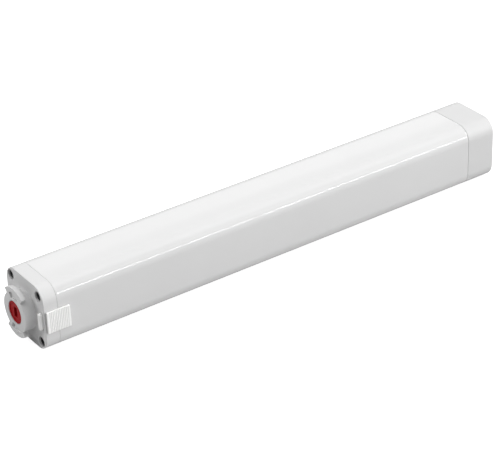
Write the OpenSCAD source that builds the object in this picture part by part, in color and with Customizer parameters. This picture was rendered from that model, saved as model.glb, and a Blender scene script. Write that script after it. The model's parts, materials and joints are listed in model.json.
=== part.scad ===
// Drive unit of a motorized curtain track.
// A square aluminium tube holds a geared motor and its electronics, with a bayonet head
// at one end and a service cap at the other.
// X runs from the head to the tail and Z is up. The origin is the centre of the head's face.

/* [Body tube] */
// Width and height of the square section
body_w = 52; // [50:0.5:60]
// Radius of the section's four corners
corner_r = 12; // [10.5:0.5:13]
// Length of the extruded tube between the two end caps
tube_len = 380.8; // [375:0.2:450]
// Wall of the tube
tube_wall = 1.8; // [1.4:0.1:2.2]
// Distance of each corner screw's axis from the two nearest sides
screw_inset = 7; // [6.75:0.25:7.5]
// Outer radius of the screw channels in the tube's corners
channel_r = 3.4; // [3:0.1:3.6]
// Width of the slit that opens each screw channel
channel_slit_w = 1.6; // [1:0.1:2]
// Width of the web that joins each screw channel to the wall
channel_web_w = 3; // [2:0.5:4]
// Height of the circuit boards' middle plane, below the axis
board_drop = 12; // [10.5:0.5:12.5]
// How far the board rails stand out of the side walls
rail_proud = 2; // [1.5:0.1:2.5]
// Thickness of each rail's lip
rail_t = 1.2; // [1:0.1:1.5]

/* [Head] */
// Depth of the head housing that shows outside the tube
head_depth = 11.2; // [11:0.1:16]
// Length of the head's plug inside the tube
head_plug_len = 11; // [10:0.5:16]
// Wall of plastic left between the bearing seat and the cored pockets
hub_wall = 2.2; // [1.8:0.1:2.6]
// Thickness of the head's front wall in front of the cored pockets
face_wall = 3; // [2.5:0.1:4]
// Half of the width of the cored pockets
core_half_w = 8; // [6:0.5:8.5]
// Plastic left outside the cored pockets
core_edge = 2.4; // [2:0.1:3]

/* [Bayonet boss] */
// Radius of the round boss
boss_r = 15.3; // [14.8:0.1:16]
// How far the boss stands out of the head's face
boss_proud = 9.4; // [8.6:0.1:12]
// Outer radius of the two bayonet ears
ear_r = 19.5; // [18:0.5:21]
// Thickness of the ears
ear_t = 3.6; // [3:0.1:4.4]
// Half of the angle that each ear spans
ear_half_angle = 38; // [30:1:42]
// Inner radius of the arc pockets in the boss's front
pocket_in_r = 11; // [10.6:0.1:11.5]
// Outer radius of the arc pockets
pocket_out_r = 15.8; // [15:0.1:16.2]
// Depth of the arc pockets
pocket_depth = 1.2; // [0.8:0.1:1.6]
// Half of the angle that each arc pocket spans
pocket_half_angle = 24; // [20:1:28]
// Angle of the deep notch at one end of each pocket
notch_angle = 7; // [5:1:9]
// Depth of that notch
notch_depth = 2.4; // [2:0.1:2.5]
// Distance of that notch from the pocket's edges
notch_inset = 0.4; // [0.3:0.05:0.6]

/* [Corner screws] */
// Radius of the corner screws' shanks
screw_r = 1.75; // [1.5:0.05:2]
// Radius of their heads
screw_head_r = 3.2; // [3:0.1:3.4]
// Height of their heads
screw_head_h = 2.3; // [2:0.1:2.6]
// Width across the corners of their hexagon sockets
screw_hex_w = 3.4; // [2.8:0.1:3.8]
// Depth of their hexagon sockets
screw_hex_depth = 1.5; // [1.2:0.1:1.8]
// Radius of the recesses that hold the heads
recess_r = 4; // [3.8:0.1:4.2]
// Depth of those recesses
recess_depth = 3.2; // [2.8:0.1:3.6]
// Length of thread in the tube's screw channels
screw_engage = 14; // [10:1:20]

/* [Latch] */
// Height of the latch tongue
tongue_h = 14; // [12:0.5:16]
// Thickness of the latch tongue
tongue_t = 3.8; // [3.4:0.1:4.2]
// How far the tongue stands out of the head's face
tongue_proud = 2.6; // [2:0.1:3.2]
// Wall of the head outside the tongue
latch_wall = 2.2; // [2.1:0.1:2.8]
// Length of the slider behind the head's face
slider_len = 9; // [8:0.5:10]
// Travel of the latch
latch_travel = 4; // [3.4:0.1:4.4]
// Start of the neck that joins the tongue to the thumb pad
neck_x = 2; // [1.6:0.1:2.4]
// Length of that neck
neck_len = 3.5; // [3:0.1:4]
// Height of that neck
neck_h = 10; // [8:0.5:12]
// Start of the thumb pad behind the head's face
pad_x = 1.3; // [1.1:0.1:1.6]
// Length of the thumb pad
pad_len = 19; // [16:0.5:22]
// Height of the thumb pad
pad_h = 17.2; // [15:0.2:20]
// How far the thumb pad stands out of the side
pad_proud = 2; // [1.6:0.1:2.6]
// Plain border at each end of the thumb pad
pad_border = 1.5; // [1:0.1:2]
// Spacing of the pad's ribs
rib_pitch = 1.35; // [1.2:0.05:1.6]
// Width of the grooves between the ribs
rib_gap = 0.6; // [0.4:0.05:0.7]
// Depth of those grooves
rib_depth = 0.6; // [0.4:0.1:0.8]
// Outer radius of the latch spring
latch_spring_r = 1.7; // [1.4:0.1:1.8]
// Wire thickness of the latch spring
latch_spring_wire = 0.45; // [0.4:0.05:0.6]
// Room for the latch spring behind the slider
latch_spring_len = 10.6; // [9:0.1:10.8]

/* [Drive socket] */
// Radius of the red drive socket
socket_r = 8.6; // [8.2:0.1:8.7]
// Gap round the drive socket in the boss
socket_gap = 0.45; // [0.3:0.05:0.5]
// How far the socket sits below the boss's front
socket_recess = 0.3; // [0.2:0.1:1]
// Width of the socket's raised rim
socket_rim_w = 1.4; // [1:0.1:2]
// Height of that rim
socket_rim_h = 0.4; // [0.3:0.1:0.9]
// Width of the drive slot
slot_w = 4.3; // [4.2:0.1:4.8]
// Height of the drive slot
slot_h = 8.4; // [7.6:0.1:9]
// Depth of the drive slot below the socket's rim
slot_depth = 5.5; // [5:0.1:6]
// Floor between the drive slot and the shaft's end
slot_floor = 1.5; // [1:0.1:2]
// Radius of the screw head in the drive slot
socket_screw_head_r = 1.7; // [1.6:0.1:1.8]
// Height of that head
socket_screw_head_h = 1.1; // [0.9:0.1:1.2]
// Radius of that screw's shank
socket_screw_r = 1.25; // [1:0.05:1.5]
// Length of that screw's thread in the shaft
socket_screw_engage = 6; // [4:0.5:8]

/* [Output shaft and bearings] */
// Radius of the output shaft
shaft_r = 5; // [4.8:0.1:5.2]
// Width across the flats of the shaft's square end
shaft_square_w = 6.6; // [6:0.1:6.8]
// Depth of the front bearing's seat behind the head's face
bearing_seat_x = 4.6; // [4.4:0.1:5]
// Thickness of the lip in front of that seat
bearing_lip_t = 1; // [0.8:0.1:1.2]
// Inner radius of that lip
bearing_lip_r = 7.6; // [7.2:0.1:8]
// Outer radius of the ball bearings
bearing_r = 9.5; // [9.3:0.1:9.8]
// Width of the ball bearings
bearing_w = 5; // [4.6:0.1:5.4]
// Radius of the bearing balls
ball_r = 1.5; // [1.4:0.05:1.6]
// Number of balls in each bearing
ball_count = 9; // [7:1:10]
// Thickness of each bearing ring at its edge
ring_t = 1.2; // [1:0.05:1.3]
// Width of the circlip's wire
circlip_w = 0.9; // [0.7:0.1:1.1]
// Half of the angle of the circlip's opening
circlip_gap_angle = 25; // [20:1:35]
// Thickness of the circlip
circlip_t = 0.7; // [0.6:0.05:0.8]
// Depth of the circlip's groove in the shaft
circlip_groove = 0.4; // [0.3:0.05:0.5]

/* [Gearbox] */
// Gap between the gear case and the tube's board rails
case_gap = 0.2; // [0.15:0.05:0.5]
// Teeth of each sun gear
sun_teeth = 12; // [12]
// Teeth of each planet gear
planet_teeth = 18; // [18]
// Pressure angle of the teeth
pressure_angle = 25; // [23:1:26]
// Backlash taken off each flank pair at the pitch circle
backlash = 0.14; // [0.12:0.01:0.18]
// Width of each planet gear
gear_w = 7.6; // [6.5:0.1:8.5]
// Wall of the gear case outside the teeth
case_wall = 4.325; // [4.2:0.025:4.6]
// Thickness of the two planet carriers
carrier_t = 3; // [2.5:0.1:3.5]
// Radius of the planet pins
planet_pin_r = 1.5; // [1.3:0.05:1.8]
// Carrier metal left outside the planet pins
carrier_edge = 2.6; // [2:0.1:3]
// Radius of the long gearbox bolts
bolt_r = 1; // [0.9:0.05:1.1]
// Radius of the gearbox bolts' heads
bolt_head_r = 1.9; // [1.7:0.05:1.95]
// Height of the gearbox bolts' heads
bolt_head_h = 1.6; // [1.4:0.1:1.8]
// Length of thread in the head
bolt_engage = 7; // [5:0.5:8]
// Thickness of the plate between gearbox and motor
motor_plate_t = 4; // [3.6:0.1:5]
// Radius of the two screws that hold the motor to that plate
motor_screw_r = 1.25; // [1:0.05:1.4]
// Radius of those screws' heads
motor_screw_head_r = 2.3; // [2.1:0.1:2.5]
// Height of those screws' heads
motor_screw_head_h = 1.6; // [1.4:0.1:1.8]
// Distance of those screws from the axis
motor_screw_pos = 11; // [10.5:0.1:11.5]

/* [Motor] */
// Thickness of the rubber dampers between the motor and the tube
damper_t = 5.05; // [4.5:0.05:6]
// Wall of the motor can
can_wall = 1.5; // [1.2:0.1:1.8]
// Length of the motor can
can_len = 72; // [70:0.5:80]
// Radius of the motor shaft
motor_shaft_r = 2; // [1.8:0.1:2.2]
// Outer radius of the shaft bushes
bush_r = 5; // [4.5:0.1:5.4]
// Length of the shaft bushes
bush_len = 5.5; // [5:0.1:6]
// Radial thickness of the magnets
magnet_t = 2.2; // [2:0.1:2.5]
// Half of the angle that each magnet spans
magnet_half_angle = 60; // [50:1:70]
// Distance of the magnets from the can's front wall
magnet_inset = 1; // [0.5:0.5:2]
// Room for the brushes between the magnets and the end bell
brush_room = 13.5; // [12.5:0.1:15]
// Air gap between the magnets and the armature
air_gap = 0.5; // [0.4:0.05:0.8]
// Distance of the armature's steel core from each end of the magnets
core_inset = 5; // [4.5:0.1:6]
// Number of slots in the armature
armature_slots = 7; // [5:1:8]
// Radius of the round armature slots
armature_slot_r = 2.4; // [2:0.1:2.6]
// Steel left outside the armature slots
tooth_tip_t = 2.2; // [1.8:0.1:2.6]
// Width of the mouth that opens each armature slot
slot_mouth_w = 1.6; // [1.2:0.1:2]
// Length of the winding beyond each end of the core
winding_end_len = 4; // [3:0.1:5]
// Radius of the commutator
commutator_r = 5.5; // [5:0.1:6]
// Length of the commutator
commutator_len = 7.5; // [6.5:0.1:8]
// Width of each brush
brush_w = 4; // [3.4:0.1:4.4]
// Length of each brush
brush_len = 6; // [5:0.1:6.5]
// Wall of the brush boxes
brush_box_wall = 1.2; // [1:0.1:1.4]
// Thickness of the motor's end bell inside the can
end_bell_t = 4; // [3.5:0.1:4.5]
// Thickness of the end bell's flange behind the can
end_bell_flange_t = 2; // [1.5:0.1:2.5]
// Length of each rubber damper
damper_len = 7; // [5:0.5:8]
// Distance of the dampers from the ends of the can
damper_inset = 5; // [4:0.5:8]

/* [Encoder] */
// Radius of the encoder magnet
encoder_magnet_r = 6.5; // [5.5:0.1:7]
// Thickness of the encoder magnet
encoder_magnet_t = 3; // [2.5:0.1:3.5]
// Distance from the end bell to the encoder board
encoder_post_len = 7.6; // [7.4:0.1:9]
// Radius of the posts that hold the encoder board
encoder_post_r = 2; // [1.6:0.1:2.4]
// Distance of those posts from the axis
encoder_post_pcr = 12; // [11:0.1:12.5]
// Radius of the encoder board
encoder_board_r = 16; // [15.2:0.1:17]
// Radius of the two insulated motor leads
lead_r = 0.9; // [0.7:0.05:1.1]
// Distance of each lead from the middle plane
lead_y = 6; // [5:0.5:7]
// Room for the leads between the encoder board and the power board
lead_room = 16; // [14:0.5:20]

/* [Boards] */
// Thickness of all circuit boards
board_t = 1.6; // [1.2:0.1:1.8]
// Length of the control board
control_board_len = 112; // [100:1:114]
// Gap between the power board and the control board
board_gap = 3; // [2:0.5:5]
// Length of the transformer
transformer_len = 30; // [24:1:34]
// Width of the transformer
transformer_w = 26; // [22:1:28]
// Height of the transformer
transformer_h = 21; // [18:0.5:23]
// Thickness of the transformer's core at each end
transformer_leg = 6; // [5:0.5:8]
// How far the transformer's winding lies inside its core
winding_inset = 2.6; // [2:0.1:3.2]
// Radius of the smoothing capacitor
capacitor_r = 8; // [6:0.5:9]
// Length of the smoothing capacitor
capacitor_len = 26; // [20:1:32]
// Length of the motor leads' socket on the power board
lead_socket_len = 8; // [6:0.5:10]
// Height of that socket
lead_socket_h = 6; // [5:0.5:8]
// Plastic of that socket beyond each lead
lead_socket_edge = 3; // [2:0.5:4]
// Length of the radio module
radio_len = 25; // [20:1:30]
// Width of the radio module
radio_w = 18; // [15:1:20]
// Height of the radio module
radio_h = 3.2; // [2.5:0.1:4]
// Width of the flat cables
cable_w = 9; // [6:0.5:12]
// Thickness of the flat cables
cable_t = 0.8; // [0.6:0.1:1]
// Height of the encoder cable above the axis
encoder_cable_z = 13; // [12.5:0.1:13.5]
// Height of the cable header on the control board
header_h = 7; // [5:0.5:9]
// Thickness of that header
header_t = 4.8; // [4:0.2:6]
// Width of that header beyond each edge of the cable
header_edge = 1.5; // [1:0.5:2.5]
// Distance of that header from the board's end
header_inset = 8; // [6:0.5:12]
// Length of the tail cable that lies on the control board
cable_lap = 10; // [8:0.5:14]

/* [Tail] */
// Depth of the tail cap that shows outside the tube
tail_depth = 26; // [25:0.5:32]
// Length of the tail cap's plug inside the tube
tail_plug_len = 10; // [8:0.5:14]
// Thickness of the tail cap's end wall
end_wall = 2.5; // [2.2:0.1:3]
// Plastic left round the tail cap's cavity
tail_wall = 1.8; // [1.5:0.1:2.2]
// Distance from the end wall to the tail board
tail_post_len = 13.5; // [13:0.1:15]
// Radius of the posts that hold the tail board
tail_post_r = 2.2; // [1.8:0.1:2.6]
// Distance of those posts' axes from the sides of the cap's cavity
tail_post_inset = 3.25; // [3:0.05:4]
// Width of the power inlet
inlet_w = 17; // [15:0.5:18]
// Height of the power inlet
inlet_h = 9.6; // [9:0.1:11]
// Wall of the power inlet
inlet_wall = 1.5; // [1.2:0.1:1.8]
// Depth of the power inlet's socket
inlet_depth = 11; // [10:0.1:12]
// Height of the power inlet's middle, below the axis
inlet_drop = 6; // [5.5:0.1:7]
// How far the inlet sits below the end face
inlet_recess = 1.2; // [0.8:0.1:1.6]
// Number of contact pins in the power inlet
pin_count = 4; // [3:1:5]
// Radius of the contact pins
contact_r = 0.5; // [0.4:0.05:0.6]
// Length of the contact pins in the socket
contact_len = 6; // [5:0.1:6.4]

/* [Setting button and lamp] */
// Distance of the setting button and the lamp from the middle plane
control_y = 10; // [9.5:0.1:10.5]
// Distance of the setting button and the lamp from the top of the cap's cavity
control_inset = 7.15; // [6.6:0.05:7.6]
// Radius of the setting button
button_r = 3.2; // [2.8:0.1:3.4]
// How far the setting button stands out of the end face
button_proud = 0.8; // [0.6:0.1:1.2]
// Width of the collar that keeps the button in
button_collar_w = 0.9; // [0.7:0.1:1.1]
// Thickness of that collar
button_collar_t = 1.2; // [1:0.1:1.5]
// Radius of the button's stem
button_stem_r = 1.5; // [1.3:0.1:1.7]
// Travel of the setting button
button_travel = 0.8; // [0.5:0.1:1]
// Width of the push switch
switch_w = 6; // [5.5:0.1:6.5]
// Height of the push switch
switch_h = 3; // [2.8:0.1:3.4]
// Radius of the push switch's plunger
plunger_r = 1.6; // [1.4:0.1:1.8]
// How far the plunger stands out of the switch
plunger_proud = 1.2; // [1.1:0.1:1.5]
// Radius of the lamp and its light pipe
lamp_r = 1.8; // [1.5:0.1:2]
// Height of the lamp
lamp_h = 2.4; // [2:0.1:3]

/* [Fits] */
// Clearance of the end caps' plugs and the dampers in the tube
plug_clear = 0.15; // [0.1:0.05:0.2]
// Clearance round pieces that slide
slide_clear = 0.3; // [0.2:0.05:0.35]
// Radial running clearance of a shaft in its bearing
run_clear = 0.05; // [0.03:0.01:0.08]
// Clearance round screws
screw_clear = 0.2; // [0.1:0.05:0.3]
// Axial clearance between turning gears and what is beside them
axial_clear = 0.4; // [0.3:0.05:0.5]

/* [Hidden] */
$fn = 64;
// Length by which a cut runs past the face that it opens
past = 1;
// Points along each tooth flank, beyond the first
flank_steps = 3;
planet_count = 3;
encoder_post_count = 3;

// Places across the section
half_w = body_w / 2;
bore_half = half_w - tube_wall;
screw_pos = half_w - screw_inset;
arm_half = screw_pos - channel_r - plug_clear;
rail_half_h = board_t / 2 + screw_clear / 2 + rail_t;
board_half_w = bore_half - screw_clear;
tongue_y = half_w - latch_wall - tongue_t / 2;
cavity_half = bore_half - rail_proud - plug_clear - tail_wall;
cavity_arm = arm_half - tail_wall;
control_z = cavity_arm - control_inset;
tail_post_y = cavity_half - tail_post_inset;

// Places along the head
tube_x = head_depth;
head_end_x = head_depth + head_plug_len;
seat_x = bearing_seat_x;
rear_bearing_x = head_end_x - bearing_w;
latch_pocket_x = slider_len + latch_spring_len;
socket_bore_r = socket_r + socket_gap;
lip_x = seat_x - bearing_lip_t;
socket_x = -boss_proud + socket_recess;
socket_end_x = lip_x - axial_clear;
slot_bottom_x = socket_x + slot_depth;
shaft_x = slot_bottom_x + slot_floor;
bearing_pcr = (shaft_r + bearing_r) / 2;

// Gear sizes, with the ring gear fixed in the case and its teeth as large as the case allows
dedendum_ratio = 1.25;
case_r = bore_half - rail_proud - case_gap;
ring_root_r = case_r - case_wall;
ring_teeth = sun_teeth + 2 * planet_teeth;
gear_module = ring_root_r / (ring_teeth / 2 + dedendum_ratio);
sun_pitch_r = gear_module * sun_teeth / 2;
planet_pitch_r = gear_module * planet_teeth / 2;
ring_pitch_r = gear_module * ring_teeth / 2;
addendum = gear_module;
dedendum = dedendum_ratio * gear_module;
planet_pcr = sun_pitch_r + planet_pitch_r;
bolt_pcr = ring_root_r + case_wall / 2;
bolt_pos = bolt_pcr * sin(45);
carrier_r = planet_pcr + planet_pin_r + carrier_edge;
ring_phase = planet_teeth % 2 == 0 ? 180 / ring_teeth : 0;

// Places along the gearbox and the motor
flange_x = head_end_x + axial_clear;
output_planet_x = flange_x + carrier_t + axial_clear;
input_carrier_x = output_planet_x + gear_w + axial_clear;
input_planet_x = input_carrier_x + carrier_t + axial_clear;
case_end_x = input_planet_x + gear_w + 2 * axial_clear;
case_len = case_end_x - head_end_x;
can_x = case_end_x + motor_plate_t;
can_end_x = can_x + can_len;
motor_r = bore_half - plug_clear - damper_t;
can_bore_r = motor_r - can_wall;
magnet_in_r = can_bore_r - magnet_t;
armature_r = magnet_in_r - air_gap;
armature_slot_pcr = armature_r - tooth_tip_t - armature_slot_r;
bell_x = can_end_x - end_bell_t;
magnet_x = can_x + can_wall + magnet_inset;
magnet_len = bell_x - brush_room - magnet_x;
core_x = magnet_x + core_inset;
core_len = magnet_len - 2 * core_inset;
front_bush_x = can_x + can_wall - bush_len / 2;
commutator_x = core_x + core_len + winding_end_len + axial_clear;
bell_end_x = can_end_x + end_bell_flange_t;
rear_bush_x = bell_end_x - bush_len;
brush_x = commutator_x + commutator_len / 2;
brush_in_r = commutator_r + run_clear;
brush_out_r = brush_in_r + brush_len;
encoder_board_x = bell_end_x + encoder_post_len;
encoder_magnet_x = encoder_board_x - 2 * axial_clear - encoder_magnet_t;

// Places along the tail
tail_x = tube_x + tube_len;
tail_end_x = tail_x + tail_depth;
tail_plug_x = tail_x - tail_plug_len;
control_board_x = tail_plug_x - control_board_len;
power_board_x = encoder_board_x + board_t + lead_room;
power_board_len = control_board_x - board_gap - power_board_x;
component_gap = (power_board_len - lead_socket_len - transformer_len - capacitor_len) / 3;
transformer_x = power_board_x + lead_socket_len + component_gap;
capacitor_x = transformer_x + transformer_len + component_gap;
board_top = -board_drop + board_t / 2;
lead_z = board_top + lead_socket_h / 2;
inner_end_x = tail_end_x - end_wall;
tail_board_back_x = inner_end_x - tail_post_len;
header_x = control_board_x + header_inset;
inlet_end_x = tail_end_x - inlet_recess;
inlet_floor_x = inlet_end_x - inlet_depth;
collar_x = inner_end_x - slide_clear - button_collar_t;
plunger_end_x = tail_board_back_x + switch_h + plunger_proud;
plunger_x = tail_board_back_x + button_travel + slide_clear;

function involute(a) = tan(a) * 180 / PI - a;

// Half of the angle that a tooth spans at radius r, for a base circle and a half angle at the pitch
function tooth_half(r, base_r, pitch_half) =
    pitch_half + involute(pressure_angle) - involute(acos(min(1, base_r / r)));

// Radii along a flank, from the base circle or the root to the tip
function flank_r(i, low_r, tip_r) = low_r + (tip_r - low_r) * i / flank_steps;

// Points of a gear outline, tooth by tooth, anticlockwise
function gear_points(teeth, root_r, tip_r, thin) =
    let (
        pitch_r = gear_module * teeth / 2,
        base_r = pitch_r * cos(pressure_angle),
        low_r = max(base_r, root_r),
        pitch_half = 90 / teeth - thin / pitch_r * 90 / PI,
        root_half = tooth_half(low_r, base_r, pitch_half)
    )
    [for (t = [0 : teeth - 1])
        let (
            mid = t * 360 / teeth,
            rise = [for (i = [0 : flank_steps])
                [flank_r(i, low_r, tip_r), -tooth_half(flank_r(i, low_r, tip_r), base_r, pitch_half)]],
            fall = [for (i = [flank_steps : -1 : 0]) [rise[i][0], -rise[i][1]]],
            foot = root_r < low_r ? [[root_r, -root_half]] : [],
            toe = root_r < low_r ? [[root_r, root_half]] : []
        )
        for (p = concat(foot, rise, fall, toe)) p[0] * [cos(mid + p[1]), sin(mid + p[1])]
    ];

// Extrudes a flat shape, drawn with Y to the right and Z up, along X
module slab(x, len) {
    translate([x, 0, 0]) rotate([90, 0, 90]) linear_extrude(len) children();
}

// Turns a profile, drawn with its radius to the right and X up, about the X axis
module turned(x) {
    translate([x, 0, 0]) rotate([0, 90, 0]) rotate_extrude() children();
}

module at_corners(pos) {
    for (sy = [-1, 1], sz = [-1, 1]) translate([sy * pos, sz * pos]) children();
}

module ring(out_r, in_r) {
    difference() {
        circle(out_r);
        circle(in_r);
    }
}

module rounded_square(w, r) {
    square([w, w - 2 * r], center = true);
    square([w - 2 * r, w], center = true);
    at_corners(w / 2 - r) circle(r);
}

// A wedge of the plane round +Z, with its point on the axis
module wedge(half_angle, reach) {
    polygon([[0, 0], [reach * tan(half_angle), reach], [-reach * tan(half_angle), reach]]);
}

module ring_sector(out_r, in_r, half_angle) {
    intersection() {
        ring(out_r, in_r);
        wedge(half_angle, 2 * out_r);
    }
}

// A bar's end view with two round ends, upright
module stadium(w, h) {
    square([w, h - w], center = true);
    for (s = [-1, 1]) translate([0, s * (h - w) / 2]) circle(w / 2);
}

// Cross that fills the tube between its screw channels and clears its rails
module tube_plug() {
    difference() {
        union() {
            square([2 * (bore_half - plug_clear), 2 * arm_half], center = true);
            square([2 * arm_half, 2 * (bore_half - plug_clear)], center = true);
        }
        for (s = [-1, 1])
            translate([s * bore_half, -board_drop])
                square([2 * (rail_proud + plug_clear), 2 * (rail_half_h + plug_clear)], center = true);
    }
}

module cap_cavity() {
    square([2 * cavity_half, 2 * cavity_arm], center = true);
    square([2 * cavity_arm, 2 * cavity_half], center = true);
}

module planet_places() {
    for (k = [0 : planet_count - 1]) rotate(k * 360 / planet_count) translate([planet_pcr, 0]) children();
}

module bolt_places() {
    at_corners(bolt_pos) children();
}

module corner_screw_places(x) {
    for (sy = [-1, 1], sz = [-1, 1]) translate([x, sy * screw_pos, sz * screw_pos]) children();
}

// A socket head screw along X, its head's underside at 0 and its thread towards +X
module corner_screw(shank_len) {
    difference() {
        union() {
            slab(-screw_head_h, screw_head_h) circle(screw_head_r);
            slab(0, shank_len) circle(screw_r);
        }
        slab(-screw_head_h - past, screw_hex_depth + past) circle(d = screw_hex_w, $fn = 6);
    }
}

// Extruded tube with screw channels in its corners and rails for the boards
module body_tube() {
    color([0.96, 0.96, 0.95]) slab(tube_x, tube_len) difference() {
        rounded_square(body_w, corner_r);
        difference() {
            rounded_square(2 * bore_half, corner_r - tube_wall);
            at_corners(screw_pos) circle(channel_r);
            for (a = [0 : 90 : 270]) rotate(a) translate([screw_pos, screw_pos]) rotate(45)
                translate([0, -channel_web_w / 2]) square([half_w, channel_web_w]);
            for (s = [-1, 1]) translate([s * bore_half, -board_drop]) difference() {
                square([2 * rail_proud, 2 * rail_half_h], center = true);
                square([2 * rail_proud + past, 2 * (rail_half_h - rail_t)], center = true);
            }
        }
        at_corners(screw_pos) circle(screw_r);
        for (a = [0 : 90 : 270]) rotate(a) translate([screw_pos, screw_pos]) rotate(225)
            translate([0, -channel_slit_w / 2]) square([channel_r + past, channel_slit_w]);
    }
}

// Moulded head with the bayonet boss, the bearing seat and the latch's slideway
module head_housing() {
    color([0.9, 0.9, 0.89]) difference() {
        union() {
            slab(0, head_depth) rounded_square(body_w, corner_r);
            slab(head_depth - past, head_plug_len + past) union() {
                tube_plug();
                circle(case_r);
            }
            slab(-boss_proud, boss_proud + past) circle(boss_r);
            for (a = [0, 180])
                slab(-boss_proud, ear_t) rotate(a) ring_sector(ear_r, boss_r - past, ear_half_angle);
        }
        slab(-boss_proud - past, boss_proud + past + lip_x) circle(socket_bore_r);
        slab(lip_x - past, bearing_lip_t + 2 * past) circle(bearing_lip_r);
        slab(seat_x, head_end_x - seat_x + past) circle(bearing_r);
        boss_pockets();
        slab(-past, head_depth + 2 * past) at_corners(screw_pos) circle(screw_r + screw_clear);
        slab(-past, recess_depth + past) at_corners(screw_pos) circle(recess_r);
        slab(head_end_x - bolt_engage, bolt_engage + past) bolt_places() circle(bolt_r);
        slab(face_wall, head_end_x) for (a = [0, 90, 270]) rotate(a)
            translate([bearing_r + hub_wall, -core_half_w])
                square([bore_half - core_edge - bearing_r - hub_wall, 2 * core_half_w]);
        slab(-past, latch_pocket_x + past) translate([-tongue_y, 0])
            stadium(tongue_t + 2 * slide_clear, tongue_h + 2 * slide_clear);
        slab(head_depth, latch_pocket_x - head_depth)
            translate([-half_w, -tongue_h / 2 - slide_clear])
                square([half_w - tongue_y, tongue_h + 2 * slide_clear]);
        translate([neck_x - slide_clear, -half_w - past, -neck_h / 2 - slide_clear])
            cube([neck_len + latch_travel + 2 * slide_clear, latch_wall + tongue_t / 2 + past,
                neck_h + 2 * slide_clear]);
    }
}

module boss_pockets() {
    notch_turn = pocket_half_angle - notch_angle / 2 - notch_inset / pocket_in_r * 180 / PI;
    for (a = [0, 180]) {
        slab(-boss_proud - past, pocket_depth + past) rotate(a)
            ring_sector(pocket_out_r, pocket_in_r, pocket_half_angle);
        slab(-boss_proud - past, notch_depth + past) rotate(a == 0 ? -notch_turn : a + notch_turn)
            ring_sector(pocket_out_r - notch_inset, pocket_in_r + notch_inset, notch_angle / 2);
    }
}

module head_screws() {
    color([0.45, 0.45, 0.46]) corner_screw_places(recess_depth)
        corner_screw(head_depth - recess_depth + screw_engage);
}

// One sliding piece: the tongue on the face, the neck through the side and the ribbed pad
module latch_slider() {
    rib_room = pad_len - 2 * pad_border;
    rib_grooves = floor((rib_room - rib_gap) / rib_pitch) + 1;
    first_groove = (pad_len - (rib_grooves - 1) * rib_pitch - rib_gap) / 2;
    color([0.97, 0.97, 0.97]) difference() {
        union() {
            slab(-tongue_proud, tongue_proud + slider_len) translate([-tongue_y, 0])
                stadium(tongue_t, tongue_h);
            translate([neck_x, -half_w - slide_clear - pad_proud / 4, -neck_h / 2])
                cube([neck_len, latch_wall + tongue_t / 2 + slide_clear + pad_proud / 4, neck_h]);
            translate([pad_x, -half_w - pad_proud, -pad_h / 2])
                cube([pad_len, pad_proud - slide_clear, pad_h]);
        }
        for (i = [0 : rib_grooves - 1])
            translate([pad_x + first_groove + i * rib_pitch, -half_w - pad_proud - past, -pad_h / 2 - past])
                cube([rib_gap, rib_depth + past, pad_h + 2 * past]);
    }
}

module latch_spring() {
    color([0.75, 0.75, 0.77]) slab(slider_len, latch_spring_len) translate([-tongue_y, 0])
        ring(latch_spring_r, latch_spring_r - latch_spring_wire);
}

// Red coupling with an upright drive slot in front and a square hole for the shaft behind
module drive_socket() {
    color([0.72, 0.1, 0.12]) difference() {
        slab(socket_x, socket_end_x - socket_x) circle(socket_r);
        slab(socket_x - past, socket_rim_h + past) circle(socket_r - socket_rim_w);
        slab(socket_x - past, slot_depth + past) square([slot_w, slot_h], center = true);
        slab(slot_bottom_x - past, slot_floor + 2 * past) circle(socket_screw_r + screw_clear / 2);
        slab(shaft_x, socket_end_x - shaft_x + past) square(shaft_square_w, center = true);
    }
}

module socket_screw() {
    color([0.2, 0.2, 0.22]) {
        slab(slot_bottom_x - socket_screw_head_h, socket_screw_head_h) circle(socket_screw_head_r);
        slab(slot_bottom_x - past / 2, past / 2 + slot_floor + socket_screw_engage) circle(socket_screw_r);
    }
}

// Shaft with a square front end and the output planet carrier at its back
module output_shaft() {
    color([0.7, 0.7, 0.72]) difference() {
        union() {
            slab(shaft_x, socket_end_x - shaft_x) square(shaft_square_w, center = true);
            slab(socket_end_x, flange_x - socket_end_x + past) circle(shaft_r);
            slab(flange_x, carrier_t) circle(carrier_r);
        }
        slab(shaft_x - past, socket_screw_engage + past) circle(socket_screw_r);
        slab(seat_x - circlip_t, circlip_t) ring(shaft_r + past, shaft_r - circlip_groove);
        slab(flange_x - past, carrier_t + 2 * past) planet_places() circle(planet_pin_r);
    }
}

module shaft_circlip() {
    color([0.3, 0.3, 0.32]) slab(seat_x - circlip_t, circlip_t) difference() {
        ring(shaft_r + circlip_w, shaft_r - circlip_groove);
        rotate(180) wedge(circlip_gap_angle, 2 * shaft_r);
    }
}

module bearing_outer_rings() {
    color([0.78, 0.78, 0.8]) for (x = [seat_x, rear_bearing_x]) turned(x) difference() {
        translate([bearing_r - ring_t, 0]) square([ring_t, bearing_w]);
        translate([bearing_pcr, bearing_w / 2]) circle(ball_r + run_clear);
    }
}

module bearing_inner_rings() {
    color([0.78, 0.78, 0.8]) for (x = [seat_x, rear_bearing_x]) turned(x) difference() {
        translate([shaft_r, 0]) square([ring_t, bearing_w]);
        translate([bearing_pcr, bearing_w / 2]) circle(ball_r + run_clear);
    }
}

module bearing_balls() {
    color([0.85, 0.85, 0.87]) for (x = [seat_x, rear_bearing_x], i = [0 : ball_count - 1])
        translate([x + bearing_w / 2, 0, 0]) rotate([i * 360 / ball_count, 0, 0])
            translate([0, bearing_pcr, 0]) sphere(ball_r);
}

module outer_spacer() {
    color([0.6, 0.6, 0.62]) slab(seat_x + bearing_w, rear_bearing_x - seat_x - bearing_w)
        ring(bearing_r, bearing_r - ring_t);
}

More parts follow.
